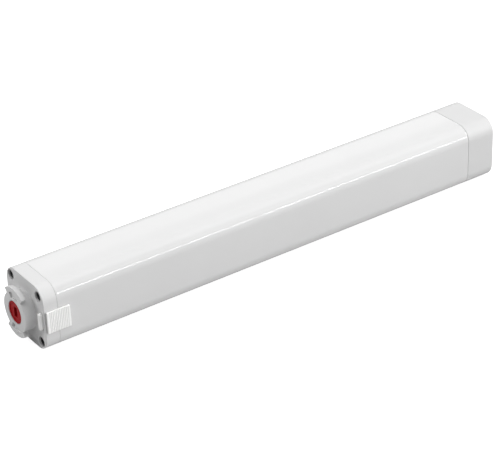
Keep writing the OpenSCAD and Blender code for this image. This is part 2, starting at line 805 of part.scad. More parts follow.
module inner_spacer() {
    color([0.6, 0.6, 0.62]) slab(seat_x + bearing_w, rear_bearing_x - seat_x - bearing_w)
        ring(shaft_r + ring_t, shaft_r);
}

// Case with the internal ring gear that both stages share
module gear_case() {
    color([0.62, 0.63, 0.65]) slab(head_end_x, case_len) difference() {
        circle(case_r);
        rotate(ring_phase) polygon(gear_points(ring_teeth, ring_pitch_r - addendum, ring_root_r, -backlash));
        bolt_places() circle(bolt_r + screw_clear / 2);
    }
}

module gearbox_bolts() {
    head_x = can_x - bolt_head_h;
    color([0.5, 0.5, 0.52]) for (sy = [-1, 1], sz = [-1, 1]) translate([0, sy * bolt_pos, sz * bolt_pos]) {
        slab(head_x, bolt_head_h) circle(bolt_head_r);
        slab(head_end_x - bolt_engage, head_x - head_end_x + bolt_engage + bolt_head_h / 2) circle(bolt_r);
    }
}

module planet_pins(x) {
    color([0.8, 0.8, 0.82]) slab(x, carrier_t + axial_clear + gear_w) planet_places() circle(planet_pin_r);
}

// The planet gear with number k, with a tooth space towards the axis
module planet(k, x) {
    color([0.93, 0.92, 0.86]) slab(x, gear_w) rotate(k * 360 / planet_count)
        translate([planet_pcr, 0]) rotate(180 + 180 / planet_teeth) difference() {
            planet_outline();
            circle(planet_pin_r + run_clear);
        }
}

module planet_outline() {
    polygon(gear_points(planet_teeth, planet_pitch_r - dedendum, planet_pitch_r + addendum, backlash));
}

module sun_outline() {
    polygon(gear_points(sun_teeth, sun_pitch_r - dedendum, sun_pitch_r + addendum, backlash));
}

module output_planet_pins() {
    planet_pins(flange_x);
}

module input_planet_pins() {
    planet_pins(input_carrier_x);
}

// Carrier of the first stage, with the second stage's sun gear in front
module input_carrier() {
    color([0.7, 0.7, 0.72]) {
        slab(output_planet_x, input_carrier_x - output_planet_x + carrier_t / 2) sun_outline();
        slab(input_carrier_x, carrier_t) difference() {
            circle(carrier_r);
            planet_places() circle(planet_pin_r);
        }
    }
}

module sun_gear() {
    color([0.75, 0.62, 0.3]) slab(input_planet_x, gear_w) difference() {
        sun_outline();
        circle(motor_shaft_r);
    }
}

module motor_plate() {
    color([0.66, 0.67, 0.69]) difference() {
        slab(case_end_x, motor_plate_t) difference() {
            circle(case_r);
            circle(bush_r + screw_clear);
            bolt_places() circle(bolt_r + screw_clear / 2);
            for (s = [-1, 1]) translate([s * motor_screw_pos, 0]) circle(motor_screw_r);
        }
        slab(can_x - bolt_head_h, bolt_head_h + past) bolt_places() circle(bolt_head_r + screw_clear / 2);
        slab(case_end_x - past, past + axial_clear + motor_screw_head_h)
            for (s = [-1, 1]) translate([s * motor_screw_pos, 0]) circle(motor_screw_head_r + screw_clear);
    }
}

module motor_screws() {
    color([0.5, 0.5, 0.52]) for (s = [-1, 1]) translate([case_end_x, s * motor_screw_pos, 0]) {
        slab(axial_clear, motor_screw_head_h) circle(motor_screw_head_r);
        slab(axial_clear, motor_plate_t + can_wall - axial_clear) circle(motor_screw_r);
    }
}

module motor_can() {
    color([0.72, 0.73, 0.75]) difference() {
        slab(can_x, can_len) circle(motor_r);
        slab(can_x + can_wall, can_len) circle(can_bore_r);
        slab(can_x - past, can_wall + 2 * past) {
            circle(bush_r);
            for (s = [-1, 1]) translate([s * motor_screw_pos, 0]) circle(motor_screw_r);
        }
    }
}

module motor_magnets() {
    color([0.25, 0.25, 0.27]) slab(magnet_x, magnet_len) for (a = [0, 180]) rotate(a)
        ring_sector(can_bore_r, magnet_in_r, magnet_half_angle);
}

module motor_bushes() {
    color([0.7, 0.55, 0.3]) for (x = [front_bush_x, rear_bush_x])
        slab(x, bush_len) ring(bush_r, motor_shaft_r + run_clear);
}

module motor_shaft() {
    color([0.8, 0.8, 0.82]) slab(input_planet_x, encoder_magnet_x + encoder_magnet_t - input_planet_x)
        circle(motor_shaft_r);
}

module armature_slot_places() {
    for (i = [0 : armature_slots - 1]) rotate(i * 360 / armature_slots) children();
}

module armature_core() {
    color([0.4, 0.41, 0.43]) slab(core_x, core_len) difference() {
        circle(armature_r);
        circle(motor_shaft_r);
        armature_slot_places() {
            translate([armature_slot_pcr, 0]) circle(armature_slot_r);
            translate([armature_slot_pcr, -slot_mouth_w / 2]) square([armature_r, slot_mouth_w]);
        }
    }
}

// Copper bars through the armature's slots, joined by the turns at both ends
module armature_winding() {
    bar_r = armature_slot_r - screw_clear;
    color([0.75, 0.4, 0.2]) {
        slab(core_x - winding_end_len / 2, core_len + winding_end_len)
            armature_slot_places() translate([armature_slot_pcr, 0]) circle(bar_r);
        for (x = [core_x - winding_end_len, core_x + core_len])
            slab(x, winding_end_len) ring(armature_slot_pcr + armature_slot_r, bush_r);
    }
}

module commutator() {
    color([0.78, 0.48, 0.28]) slab(commutator_x, commutator_len) difference() {
        circle(commutator_r);
        circle(motor_shaft_r);
        armature_slot_places() translate([commutator_r - past, -screw_clear])
            square([2 * past, 2 * screw_clear]);
    }
}

module motor_brushes() {
    color([0.2, 0.2, 0.2]) for (s = [0, 1]) mirror([0, s, 0])
        translate([brush_x - brush_w / 2, brush_in_r, -brush_w / 2]) cube([brush_w, brush_len, brush_w]);
}

// End bell that closes the can, holds the brushes and carries the encoder board
module motor_end_bell() {
    box_w = brush_w + 2 * brush_box_wall;
    color([0.15, 0.15, 0.16]) difference() {
        union() {
            slab(bell_x, end_bell_t) circle(can_bore_r);
            slab(can_end_x, end_bell_flange_t) circle(motor_r);
            for (s = [0, 1]) mirror([0, s, 0])
                translate([brush_x - box_w / 2, brush_in_r + brush_box_wall, -box_w / 2])
                    cube([bell_x - brush_x + box_w / 2 + past, brush_len, box_w]);
            slab(bell_end_x - past, encoder_post_len + past) encoder_post_places() circle(encoder_post_r);
            slab(bell_end_x - past, encoder_post_len + board_t + past)
                encoder_post_places() circle(encoder_post_r / 2);
        }
        slab(bell_x - past, end_bell_t + end_bell_flange_t + 2 * past) circle(bush_r);
        for (s = [0, 1]) mirror([0, s, 0])
            translate([brush_x - brush_w / 2, brush_in_r, -brush_w / 2]) cube([brush_w, brush_len, brush_w]);
    }
}

module encoder_post_places() {
    for (k = [0 : encoder_post_count - 1])
        rotate((k + 0.25) * 360 / encoder_post_count) translate([encoder_post_pcr, 0]) children();
}

module encoder_magnet() {
    color([0.3, 0.3, 0.33]) slab(encoder_magnet_x, encoder_magnet_t) ring(encoder_magnet_r, motor_shaft_r);
}

module encoder_board() {
    color([0.1, 0.4, 0.2]) slab(encoder_board_x, board_t) difference() {
        circle(encoder_board_r);
        encoder_post_places() circle(encoder_post_r / 2);
        for (s = [-1, 1]) translate([s * lead_y, lead_z]) circle(lead_r + screw_clear);
    }
}

module motor_dampers() {
    color([0.12, 0.12, 0.12]) for (x = [can_x + damper_inset, can_end_x - damper_inset - damper_len])
        slab(x, damper_len) difference() {
            tube_plug();
            circle(motor_r);
        }
}

module motor_leads() {
    color([0.75, 0.15, 0.1]) slab(bell_end_x, power_board_x - bell_end_x) for (s = [-1, 1])
        translate([s * lead_y, lead_z]) circle(lead_r);
}

// A board in the tube's rails
module rail_board(x, len) {
    color([0.1, 0.42, 0.22]) translate([x, -board_half_w, -board_drop - board_t / 2])
        cube([len, 2 * board_half_w, board_t]);
}

module power_board() {
    rail_board(power_board_x, power_board_len);
}

module control_board() {
    rail_board(control_board_x, control_board_len);
}

// A block on top of the rail boards, centred across the tube
module on_board(x, size) {
    translate([x, -size[1] / 2, board_top]) cube(size);
}

module lead_socket() {
    color([0.93, 0.93, 0.9])
        on_board(power_board_x, [lead_socket_len, 2 * (lead_y + lead_socket_edge), lead_socket_h]);
}

// Transformer: a winding between the legs of its core
module transformer() {
    color([0.85, 0.7, 0.2]) {
        for (x = [transformer_x, transformer_x + transformer_len - transformer_leg])
            on_board(x, [transformer_leg, transformer_w, transformer_h]);
        on_board(transformer_x,
            [transformer_len, transformer_w - 2 * winding_inset, transformer_h - winding_inset]);
    }
}

module capacitor() {
    color([0.15, 0.2, 0.45]) translate([capacitor_x, 0, board_top + capacitor_r])
        rotate([0, 90, 0]) cylinder(r = capacitor_r, h = capacitor_len);
}

module radio_module() {
    color([0.8, 0.8, 0.82])
        on_board(control_board_x + control_board_len / 2, [radio_len, radio_w, radio_h]);
}

// Flat cable over the power board, with its header on the control board
module encoder_cable() {
    start_x = encoder_board_x + board_t;
    color([0.85, 0.85, 0.85]) {
        translate([start_x, -cable_w / 2, encoder_cable_z])
            cube([header_x - start_x + cable_t, cable_w, cable_t]);
        translate([header_x, -cable_w / 2, board_top + header_h - past])
            cube([cable_t, cable_w, encoder_cable_z - board_top - header_h + past + cable_t]);
        on_board(header_x + (cable_t - header_t) / 2, [header_t, cable_w + 2 * header_edge, header_h]);
    }
}

// Moulded tail cap, a plug in the tube and a hollow that holds the service board
module tail_cap() {
    cut_x = tail_plug_x - past;
    color([0.93, 0.93, 0.92]) difference() {
        union() {
            slab(tail_x, tail_depth) rounded_square(body_w, corner_r);
            slab(tail_plug_x, tail_plug_len + past) tube_plug();
        }
        difference() {
            slab(cut_x, inner_end_x - cut_x) cap_cavity();
            slab(tail_board_back_x, tail_post_len + past)
                for (s = [-1, 1]) translate([s * tail_post_y, 0]) circle(tail_post_r);
        }
        slab(tail_x - past, tail_depth + 2 * past) at_corners(screw_pos) circle(screw_r + screw_clear);
        slab(tail_end_x - recess_depth, recess_depth + past) at_corners(screw_pos) circle(recess_r);
        slab(inner_end_x - past, end_wall + 2 * past) {
            translate([0, -inlet_drop]) square([inlet_w + 2 * screw_clear, inlet_h + 2 * screw_clear],
                center = true);
            translate([control_y, control_z]) circle(button_r + slide_clear);
            translate([-control_y, control_z]) circle(lamp_r);
        }
    }
}

module tail_screws() {
    color([0.45, 0.45, 0.46]) for (sy = [-1, 1], sz = [-1, 1])
        translate([tail_end_x - recess_depth, sy * screw_pos, sz * screw_pos]) rotate([0, 0, 180])
            corner_screw(tail_depth - recess_depth + screw_engage);
}

// Power socket on the tail board, open towards the end face
module power_inlet() {
    color([0.12, 0.12, 0.13]) difference() {
        slab(tail_board_back_x, inlet_end_x - tail_board_back_x) translate([0, -inlet_drop])
            square([inlet_w, inlet_h], center = true);
        slab(inlet_floor_x, inlet_depth + past) translate([0, -inlet_drop])
            square([inlet_w - 2 * inlet_wall, inlet_h - 2 * inlet_wall], center = true);
        slab(tail_board_back_x - past, inlet_floor_x - tail_board_back_x + 2 * past)
            inlet_pin_places() circle(contact_r);
    }
}

module inlet_pin_places() {
    pitch = (inlet_w - 2 * inlet_wall) / pin_count;
    for (i = [0 : pin_count - 1]) translate([(i - (pin_count - 1) / 2) * pitch, -inlet_drop]) children();
}

module inlet_pins() {
    color([0.85, 0.7, 0.35]) slab(tail_board_back_x, inlet_floor_x - tail_board_back_x + contact_len)
        inlet_pin_places() circle(contact_r);
}

module tail_board() {
    color([0.1, 0.42, 0.22]) slab(tail_board_back_x - board_t, board_t)
        square([2 * (cavity_half - slide_clear), 2 * (cavity_arm - slide_clear)], center = true);
}

// Flat cable from the control board to the tail board
module tail_cable() {
    start_x = tail_plug_x - cable_lap;
    color([0.85, 0.85, 0.85]) translate([start_x, -cable_w / 2, board_top])
        cube([tail_board_back_x - board_t - start_x, cable_w, cable_t]);
}

module setting_switch() {
    floor_x = tail_board_back_x + slide_clear / 2;
    color([0.15, 0.15, 0.16]) difference() {
        slab(tail_board_back_x, switch_h) translate([control_y, control_z])
            square(switch_w, center = true);
        slab(floor_x, switch_h) translate([control_y, control_z]) circle(plunger_r + 2 * run_clear);
    }
}

module switch_plunger() {
    color([0.9, 0.9, 0.88]) slab(plunger_x, plunger_end_x - plunger_x)
        translate([control_y, control_z]) circle(plunger_r);
}

// Button cap with the collar that keeps it behind the end wall and the stem to the switch
module setting_button() {
    color([0.85, 0.85, 0.85]) translate([0, control_y, control_z]) {
        slab(collar_x, tail_end_x + button_proud - collar_x) circle(button_r);
        slab(collar_x, button_collar_t) circle(button_r + button_collar_w);
        slab(plunger_end_x, collar_x - plunger_end_x + past / 2) circle(button_stem_r);
    }
}

module status_lamp() {
    color([0.9, 0.95, 0.9]) slab(tail_board_back_x, lamp_h) translate([-control_y, control_z])
        circle(lamp_r);
}

module light_pipe() {
    color([0.85, 0.9, 0.95]) slab(tail_board_back_x + lamp_h, tail_end_x - tail_board_back_x - lamp_h)
        translate([-control_y, control_z]) circle(lamp_r);
}

body_tube();
head_housing();
head_screws();
latch_slider();
latch_spring();
drive_socket();
socket_screw();
output_shaft();
shaft_circlip();
bearing_outer_rings();
bearing_inner_rings();
bearing_balls();
outer_spacer();
inner_spacer();
gear_case();
gearbox_bolts();
output_planet_pins();
planet(0, output_planet_x);  // output_planet_1
planet(1, output_planet_x);  // output_planet_2
planet(2, output_planet_x);  // output_planet_3
input_carrier();
input_planet_pins();
planet(0, input_planet_x);  // input_planet_1
planet(1, input_planet_x);  // input_planet_2
planet(2, input_planet_x);  // input_planet_3
sun_gear();
motor_plate();
motor_screws();
motor_can();
motor_magnets();
motor_bushes();
motor_shaft();
armature_core();
armature_winding();
commutator();
motor_brushes();
motor_end_bell();
encoder_magnet();
encoder_board();
motor_dampers();
motor_leads();
power_board();
transformer();
capacitor();
lead_socket();
control_board();
radio_module();
encoder_cable();
tail_cap();
tail_screws();
power_inlet();
inlet_pins();
tail_board();
tail_cable();
setting_switch();
switch_plunger();
setting_button();
status_lamp();
light_pipe();
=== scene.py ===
"""Drive unit of a motorized curtain track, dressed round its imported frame.

Sizes of the part are millimetres in its own frame: X runs from the head to the tail, Z is up, and
the latch is on the -Y side. A flat outline holds (Y, Z) pairs, and it runs clockwise from +Z to +Y.
Lamps and camera are placed in metres.
"""

import json
import math

import bmesh
import bpy
import numpy as np
from mathutils import Euler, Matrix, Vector
from mathutils.geometry import delaunay_2d_cdt


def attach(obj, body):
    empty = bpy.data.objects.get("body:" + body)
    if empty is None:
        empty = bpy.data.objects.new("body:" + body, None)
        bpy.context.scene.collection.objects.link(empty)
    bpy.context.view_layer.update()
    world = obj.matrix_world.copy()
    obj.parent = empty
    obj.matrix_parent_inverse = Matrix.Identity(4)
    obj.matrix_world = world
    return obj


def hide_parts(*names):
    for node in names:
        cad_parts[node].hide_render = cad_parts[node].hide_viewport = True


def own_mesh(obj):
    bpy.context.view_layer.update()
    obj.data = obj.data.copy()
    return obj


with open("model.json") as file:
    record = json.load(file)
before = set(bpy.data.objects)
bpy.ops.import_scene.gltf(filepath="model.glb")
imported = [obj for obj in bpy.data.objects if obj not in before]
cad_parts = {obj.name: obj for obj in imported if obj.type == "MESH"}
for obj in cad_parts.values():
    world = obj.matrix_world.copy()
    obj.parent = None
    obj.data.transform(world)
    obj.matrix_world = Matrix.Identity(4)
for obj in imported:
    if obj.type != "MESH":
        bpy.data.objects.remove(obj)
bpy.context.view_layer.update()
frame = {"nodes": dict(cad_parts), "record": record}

MM = 0.001
SAME_PLACE = 2e-6

# Kind of flat face to make: the inside of the outlines, with their holes left open
INSIDE_WITH_HOLES = 2

# Section of the tube and of both caps, and the rounds at their ends and at the seams
SIDE = 52.0
CORNER_R = 12.0
HALF = SIDE / 2
HEAD_X = 11.2
TAIL_X = 392.0
END_X = 418.0
SEAM = 0.12
SEAM_ROUND = 0.2
END_ROUND = 0.5

# Half width of the plug that each cap has in the tube
PLUG_HALF = 24.05

# Corner screws
SCREW_POS = 19.0
RECESS_R = 4.0
RECESS_DEEP = 3.2
SCREW_HOLE_R = 1.95

# Boss with its two bayonet ears
BOSS_R = 15.3
BOSS_X = -9.4
EAR_R = 19.5
EAR_BACK_X = -5.8
EAR_HALF = 38.0
BORE_R = 9.05
POCKET_X = -8.2
NOTCH_X = -7.0

# Latch: the tunnel of its tongue, the slot of its neck, and the spring behind the tongue
TONGUE_Y = -21.9
TUNNEL_W, TUNNEL_H = 4.4, 14.6
SLOT_X0, SLOT_X1 = 1.7, 9.8
SLOT_HALF = 5.1
SPRING_X0, SPRING_X1 = 9.0, 19.6

# Tail end: the board's outer face, and the axes of what reaches from it to the end wall
BOARD_X = 402.0
INLET_AXIS = (0.0, -6.0)
BUTTON_AXIS = (10.0, 6.5)
LAMP_AXIS = (-10.0, 6.5)


# Outlines


def polar(r, degrees):
    """Points at radius r and at angles that run from +Z towards +Y."""
    a = np.radians(degrees)
    return np.stack([r * np.sin(a), r * np.cos(a)], -1)


def circle(r, count, centre=(0.0, 0.0)):
    """Points at equal angles round a centre."""
    return polar(r, np.arange(count) * 360.0 / count) + np.array(centre)


def apart(outline):
    """The outline without points that repeat the one before."""
    return outline[np.linalg.norm(outline - np.roll(outline, 1, 0), axis=1) > 1e-6]


def rounded_box(w, h, r, steps, centre=(0.0, 0.0)):
    """Rectangle w by h: at each corner, that corner's centre plus r times a quarter turn."""
    quarter = np.linspace(0, 90, steps + 1)
    signs = ((1, 1), (1, -1), (-1, -1), (-1, 1))
    parts = [
        polar(r, 90 * k + quarter) + (sy * (w / 2 - r), sz * (h / 2 - r))
        for k, (sy, sz) in enumerate(signs)
    ]
    return apart(np.concatenate(parts)) + np.array(centre)


def from_flat(outline):
    """The same outline, begun at the upper end of its -Y flat, so that it ends at the lower one."""
    on_flat = np.flatnonzero(outline[:, 0] < outline[:, 0].min() + 1e-6)
    return np.roll(outline, -on_flat[np.argmax(outline[on_flat, 1])], 0)


def sector(out_r, in_r, low, high, steps):
    """Part of a ring between two angles: the outer arc forwards, then the inner arc backwards."""
    arc = np.linspace(low, high, steps + 1)
    return np.concatenate([polar(out_r, arc), polar(in_r, arc[::-1])])


def offset(outline, d):
    """Moves each point inwards by d.

    The way is the sum of its two edges' normals, divided by one plus the normals' product.
    """
    edge = np.roll(outline, -1, 0) - outline
    edge /= np.linalg.norm(edge, axis=1, keepdims=True)
    after = np.stack([edge[:, 1], -edge[:, 0]], -1)
    before = np.roll(after, 1, 0)
    share = 1 + (before * after).sum(1, keepdims=True)
    return outline + d * (before + after) / share


def at_x(outline, x):
    """A flat outline put at x."""
    return np.column_stack([np.full(len(outline), float(x)), outline])


def edge_rows(outline, x, r, outwards, steps=5):
    """Rows of a rounded edge between a wall and the face at x, which looks along outwards times X.

    The outline draws in by r(1 - cos), and the row stands off the face by r(1 - sin).
    """
    rows = []
    for t in np.linspace(0, math.pi / 2, steps + 1):
        drawn = offset(outline, r * (1 - math.cos(t)))
        rows.append(at_x(drawn, x - outwards * r * (1 - math.sin(t))))
    return rows


# Surfaces


class Skin:
    """Points and faces of one piece. Neighbouring surfaces repeat the points that they share."""

    def __init__(self):
        self.points, self.faces, self.total = [], [], 0

    def add(self, points, faces):
        """Points, and faces whose numbers count from the first of these points."""
        self.points.append(np.asarray(points, float))
        self.faces += (np.asarray(faces) + self.total).tolist()
        self.total += len(points)

    def grid(self, rows, closed=True):
        """Quads between neighbouring rows of points."""
        rows = np.asarray(rows, float)
        count, wide = rows.shape[:2]
        index = np.arange(count * wide).reshape(count, wide)
        after = np.roll(index, -1, 1)
        quads = np.stack([index[:-1], after[:-1], after[1:], index[1:]], -1)
        if not closed:
            quads = quads[:, :-1]
        self.add(rows.reshape(-1, 3), quads.reshape(-1, 4))

    def wall(self, outline, *xs):
        """An outline carried along X."""
        self.grid([at_x(outline, x) for x in xs])

    def cap(self, row):
        """One face with all the points of a row."""
        self.add(row, [list(range(len(row)))])

    def sheet(self, outlines, place):
        """Flat face inside the first outline, with the others as its holes."""
        starts = np.cumsum([0] + [len(o) for o in outlines])
        loops = [list(range(a, b)) for a, b in zip(starts[:-1], starts[1:])]
        flat = [Vector(p) for p in np.concatenate(outlines)]
        found = delaunay_2d_cdt(flat, [], loops, INSIDE_WITH_HOLES, 1e-7)
        self.add(place(np.array([v[:] for v in found[0]])), found[2])

    def face(self, outlines, x):
        """Flat face at x, with holes."""
        self.sheet(outlines, lambda flat: at_x(flat, x))

    def lathe(self, profile, steps, centre):
        """Turns (x, radius) pairs round an axis along X. A radius of 0 closes the end."""
        self.grid([at_x(circle(r, steps, centre), x) for x, r in profile])

    def mesh(self, name):
        """All the surfaces as one mesh in metres."""
        made = bpy.data.meshes.new(name)
        made.from_pydata((np.concatenate(self.points) * MM).tolist(), [], self.faces)
        return made


def new_object(name, data):
    """An object in the scene."""
    made = bpy.data.objects.new(name, data)
    bpy.context.scene.collection.objects.link(made)
    return made


# Finishes


def linear(colour):
    """Screen colour as light: ((c + 0.055) / 1.055) to the power 2.4."""
    return tuple(((c + 0.055) / 1.055) ** 2.4 for c in colour) + (1.0,)


def node(tree, kind, values=(), **settings):
    """A shader node with its settings and the values of its named sockets."""
    made = tree.nodes.new(kind)
    for key, value in settings.items():
        setattr(made, key, value)
    for key, value in dict(values).items():
        made.inputs[key].default_value = value
    return made


def group_tree(name, inputs, outputs):
    """An empty shader group with named sockets, and its two end nodes."""
    tree = bpy.data.node_groups.new(name, "ShaderNodeTree")
    for label, kind in inputs.items():
        tree.interface.new_socket(label, in_out="INPUT", socket_type="NodeSocket" + kind)
    for label, kind in outputs.items():
        tree.interface.new_socket(label, in_out="OUTPUT", socket_type="NodeSocket" + kind)
    return tree, tree.nodes.new("NodeGroupInput"), tree.nodes.new("NodeGroupOutput")


def surface_group():
    """Tone drift, gloss drift and the grain of a moulded, cast or lacquered surface."""
    tree, ins, outs = group_tree(
        "surface_character",
        {
            "Place": "Vector", "Colour": "Color", "Deep Colour": "Color", "Drift": "Float",
            "Roughness": "Float", "Gloss Drift": "Float", "Grain Scale": "Float",
        },
        {"Colour": "Color", "Roughness": "Float", "Grain": "Float"},
    )
    link = tree.links.new
    broad = node(tree, "ShaderNodeTexNoise", {"Scale": 28.0, "Detail": 3.0, "Roughness": 0.55})
    specks = node(tree, "ShaderNodeTexNoise", {"Detail": 2.0, "Roughness": 0.6})
    cells = node(tree, "ShaderNodeTexVoronoi", feature="SMOOTH_F1")
    for texture in (broad, specks, cells):
        link(ins.outputs["Place"], texture.inputs["Vector"])
    for texture in (specks, cells):
        link(ins.outputs["Grain Scale"], texture.inputs["Scale"])
    share = node(tree, "ShaderNodeMath", operation="MULTIPLY")
    link(broad.outputs["Fac"], share.inputs[0])
    link(ins.outputs["Drift"], share.inputs[1])
    tone = node(tree, "ShaderNodeMix", data_type="RGBA")
    link(share.outputs[0], tone.inputs["Factor"])
    link(ins.outputs["Colour"], tone.inputs["A"])
    link(ins.outputs["Deep Colour"], tone.inputs["B"])
    link(tone.outputs["Result"], outs.inputs["Colour"])
    centred = node(tree, "ShaderNodeMath", {1: 0.5}, operation="SUBTRACT")
    link(specks.outputs["Fac"], centred.inputs[0])
    gloss = node(tree, "ShaderNodeMath", operation="MULTIPLY_ADD")
    link(centred.outputs[0], gloss.inputs[0])
    link(ins.outputs["Gloss Drift"], gloss.inputs[1])
    link(ins.outputs["Roughness"], gloss.inputs[2])
    link(gloss.outputs[0], outs.inputs["Roughness"])
    grain = node(tree, "ShaderNodeMath", operation="MULTIPLY")
    link(specks.outputs["Fac"], grain.inputs[0])
    link(cells.outputs["Distance"], grain.inputs[1])
    link(grain.outputs[0], outs.inputs["Grain"])
    return tree


def drawn_group():
    """Fine lines of drawn, turned or ground metal: noise stretched along one direction."""
    tree, ins, outs = group_tree(
        "drawn_lines",
        {"Place": "Vector", "Stretch": "Vector", "Roughness": "Float", "Spread": "Float"},
        {"Roughness": "Float", "Lines": "Float"},
    )
    link = tree.links.new
    scaled = node(tree, "ShaderNodeVectorMath", operation="MULTIPLY")
    link(ins.outputs["Place"], scaled.inputs[0])
    link(ins.outputs["Stretch"], scaled.inputs[1])
    lines = node(tree, "ShaderNodeTexNoise", {"Scale": 1.0, "Detail": 4.0, "Roughness": 0.65})
    link(scaled.outputs[0], lines.inputs["Vector"])
    rough = node(tree, "ShaderNodeMath", operation="MULTIPLY_ADD")
    link(lines.outputs["Fac"], rough.inputs[0])
    link(ins.outputs["Spread"], rough.inputs[1])
    link(ins.outputs["Roughness"], rough.inputs[2])
    link(rough.outputs[0], outs.inputs["Roughness"])
    link(lines.outputs["Fac"], outs.inputs["Lines"])
    return tree


SURFACE = surface_group()
DRAWN = drawn_group()


def new_finish(name):
    """A material, its tree, its shader and the place of each point on the object."""
    made = bpy.data.materials.new(name)
    made.use_nodes = True
    tree = made.node_tree
    place = node(tree, "ShaderNodeTexCoord").outputs["Object"]
    return made, tree, tree.nodes["Principled BSDF"], place


def add_bump(tree, shader, source, strength, height):
    """Bump of a shader from one output. The height is in millimetres."""
    bump = node(tree, "ShaderNodeBump", {"Strength": strength, "Distance": height * MM})
    tree.links.new(source, bump.inputs["Height"])
    tree.links.new(bump.outputs["Normal"], shader.inputs["Normal"])


def moulded(name, colour, deep=None, drift=0.5, rough=0.45, gloss_drift=0.1, grain=1400.0,
            height=0.02, **sockets):
    """Plastic, lacquer, rubber or glass: the shared surface feeds colour, roughness and bump."""
    made, tree, shader, place = new_finish(name)
    deep = deep or tuple(0.96 * c for c in colour)
    group = node(tree, "ShaderNodeGroup", {
        "Colour": linear(colour), "Deep Colour": linear(deep), "Drift": drift,
        "Roughness": rough, "Gloss Drift": gloss_drift, "Grain Scale": grain,
    }, node_tree=SURFACE)
    link = tree.links.new
    link(place, group.inputs["Place"])
    link(group.outputs["Colour"], shader.inputs["Base Color"])
    link(group.outputs["Roughness"], shader.inputs["Roughness"])
    add_bump(tree, shader, group.outputs["Grain"], 0.6, height)
    for key, value in sockets.items():
        shader.inputs[key.replace("_", " ")].default_value = value
    return made


def metal(name, colour, stretch, rough):
    """Bare metal: the shared surface tints it, and drawn lines give roughness and bump."""
    made, tree, shader, place = new_finish(name)
    deep = tuple(0.85 * c for c in colour)
    group = node(tree, "ShaderNodeGroup", {
        "Colour": linear(colour), "Deep Colour": linear(deep), "Drift": 0.8,
        "Roughness": rough, "Gloss Drift": 0.05, "Grain Scale": 900.0,
    }, node_tree=SURFACE)
    lines = node(tree, "ShaderNodeGroup", {"Stretch": stretch, "Spread": 0.2}, node_tree=DRAWN)
    link = tree.links.new
    link(place, group.inputs["Place"])
    link(place, lines.inputs["Place"])
    link(group.outputs["Colour"], shader.inputs["Base Color"])
    link(group.outputs["Roughness"], lines.inputs["Roughness"])
    link(lines.outputs["Roughness"], shader.inputs["Roughness"])
    add_bump(tree, shader, lines.outputs["Lines"], 0.5, 0.01)
    shader.inputs["Metallic"].default_value = 1.0
    return made


def banded(name, across, wave, gap_shade, pale, strength, height, **sockets):
    """Wires side by side: bands across one axis go from painted shade in the gaps to the wire's own
    pale colour on the rounds, and so does the bump."""
    made, tree, shader, place = new_finish(name)
    bands = node(tree, "ShaderNodeTexWave", wave, bands_direction=across)
    # The gap end of these bands is painted shade between the wires; the pale end is the wire's own
    # colour
    tone = node(tree, "ShaderNodeMix", {"A": linear(gap_shade), "B": linear(pale)}, data_type="RGBA")
    link = tree.links.new
    link(place, bands.inputs["Vector"])
    link(bands.outputs["Fac"], tone.inputs["Factor"])
    link(tone.outputs["Result"], shader.inputs["Base Color"])
    add_bump(tree, shader, bands.outputs["Fac"], strength, height)
    for key, value in sockets.items():
        shader.inputs[key].default_value = value
    return made


def circuit_board():
    """Solder mask over copper tracks: brick joints stand a little proud, paler than the mask."""
    made, tree, shader, place = new_finish("circuit_board")
    tracks = node(tree, "ShaderNodeTexBrick", {
        "Scale": 260.0, "Mortar Size": 0.06, "Brick Width": 1.7, "Row Height": 0.45,
        "Color1": linear((0.07, 0.36, 0.2)), "Color2": linear((0.06, 0.32, 0.17)),
        "Mortar": linear((0.16, 0.5, 0.28)),
    }, offset=0.35)
    link = tree.links.new
    link(place, tracks.inputs["Vector"])
    link(tracks.outputs["Color"], shader.inputs["Base Color"])
    add_bump(tree, shader, tracks.outputs["Fac"], 0.4, 0.04)
    shader.inputs["Roughness"].default_value = 0.35
    shader.inputs["Coat Weight"].default_value = 0.3
    return made


# How drawn lines are stretched: along the part, round it, or not at all
ALONG_X = (60.0, 9000.0, 9000.0)
ROUND_X = (9000.0, 500.0, 500.0)
EVEN = (1500.0, 1500.0, 1500.0)

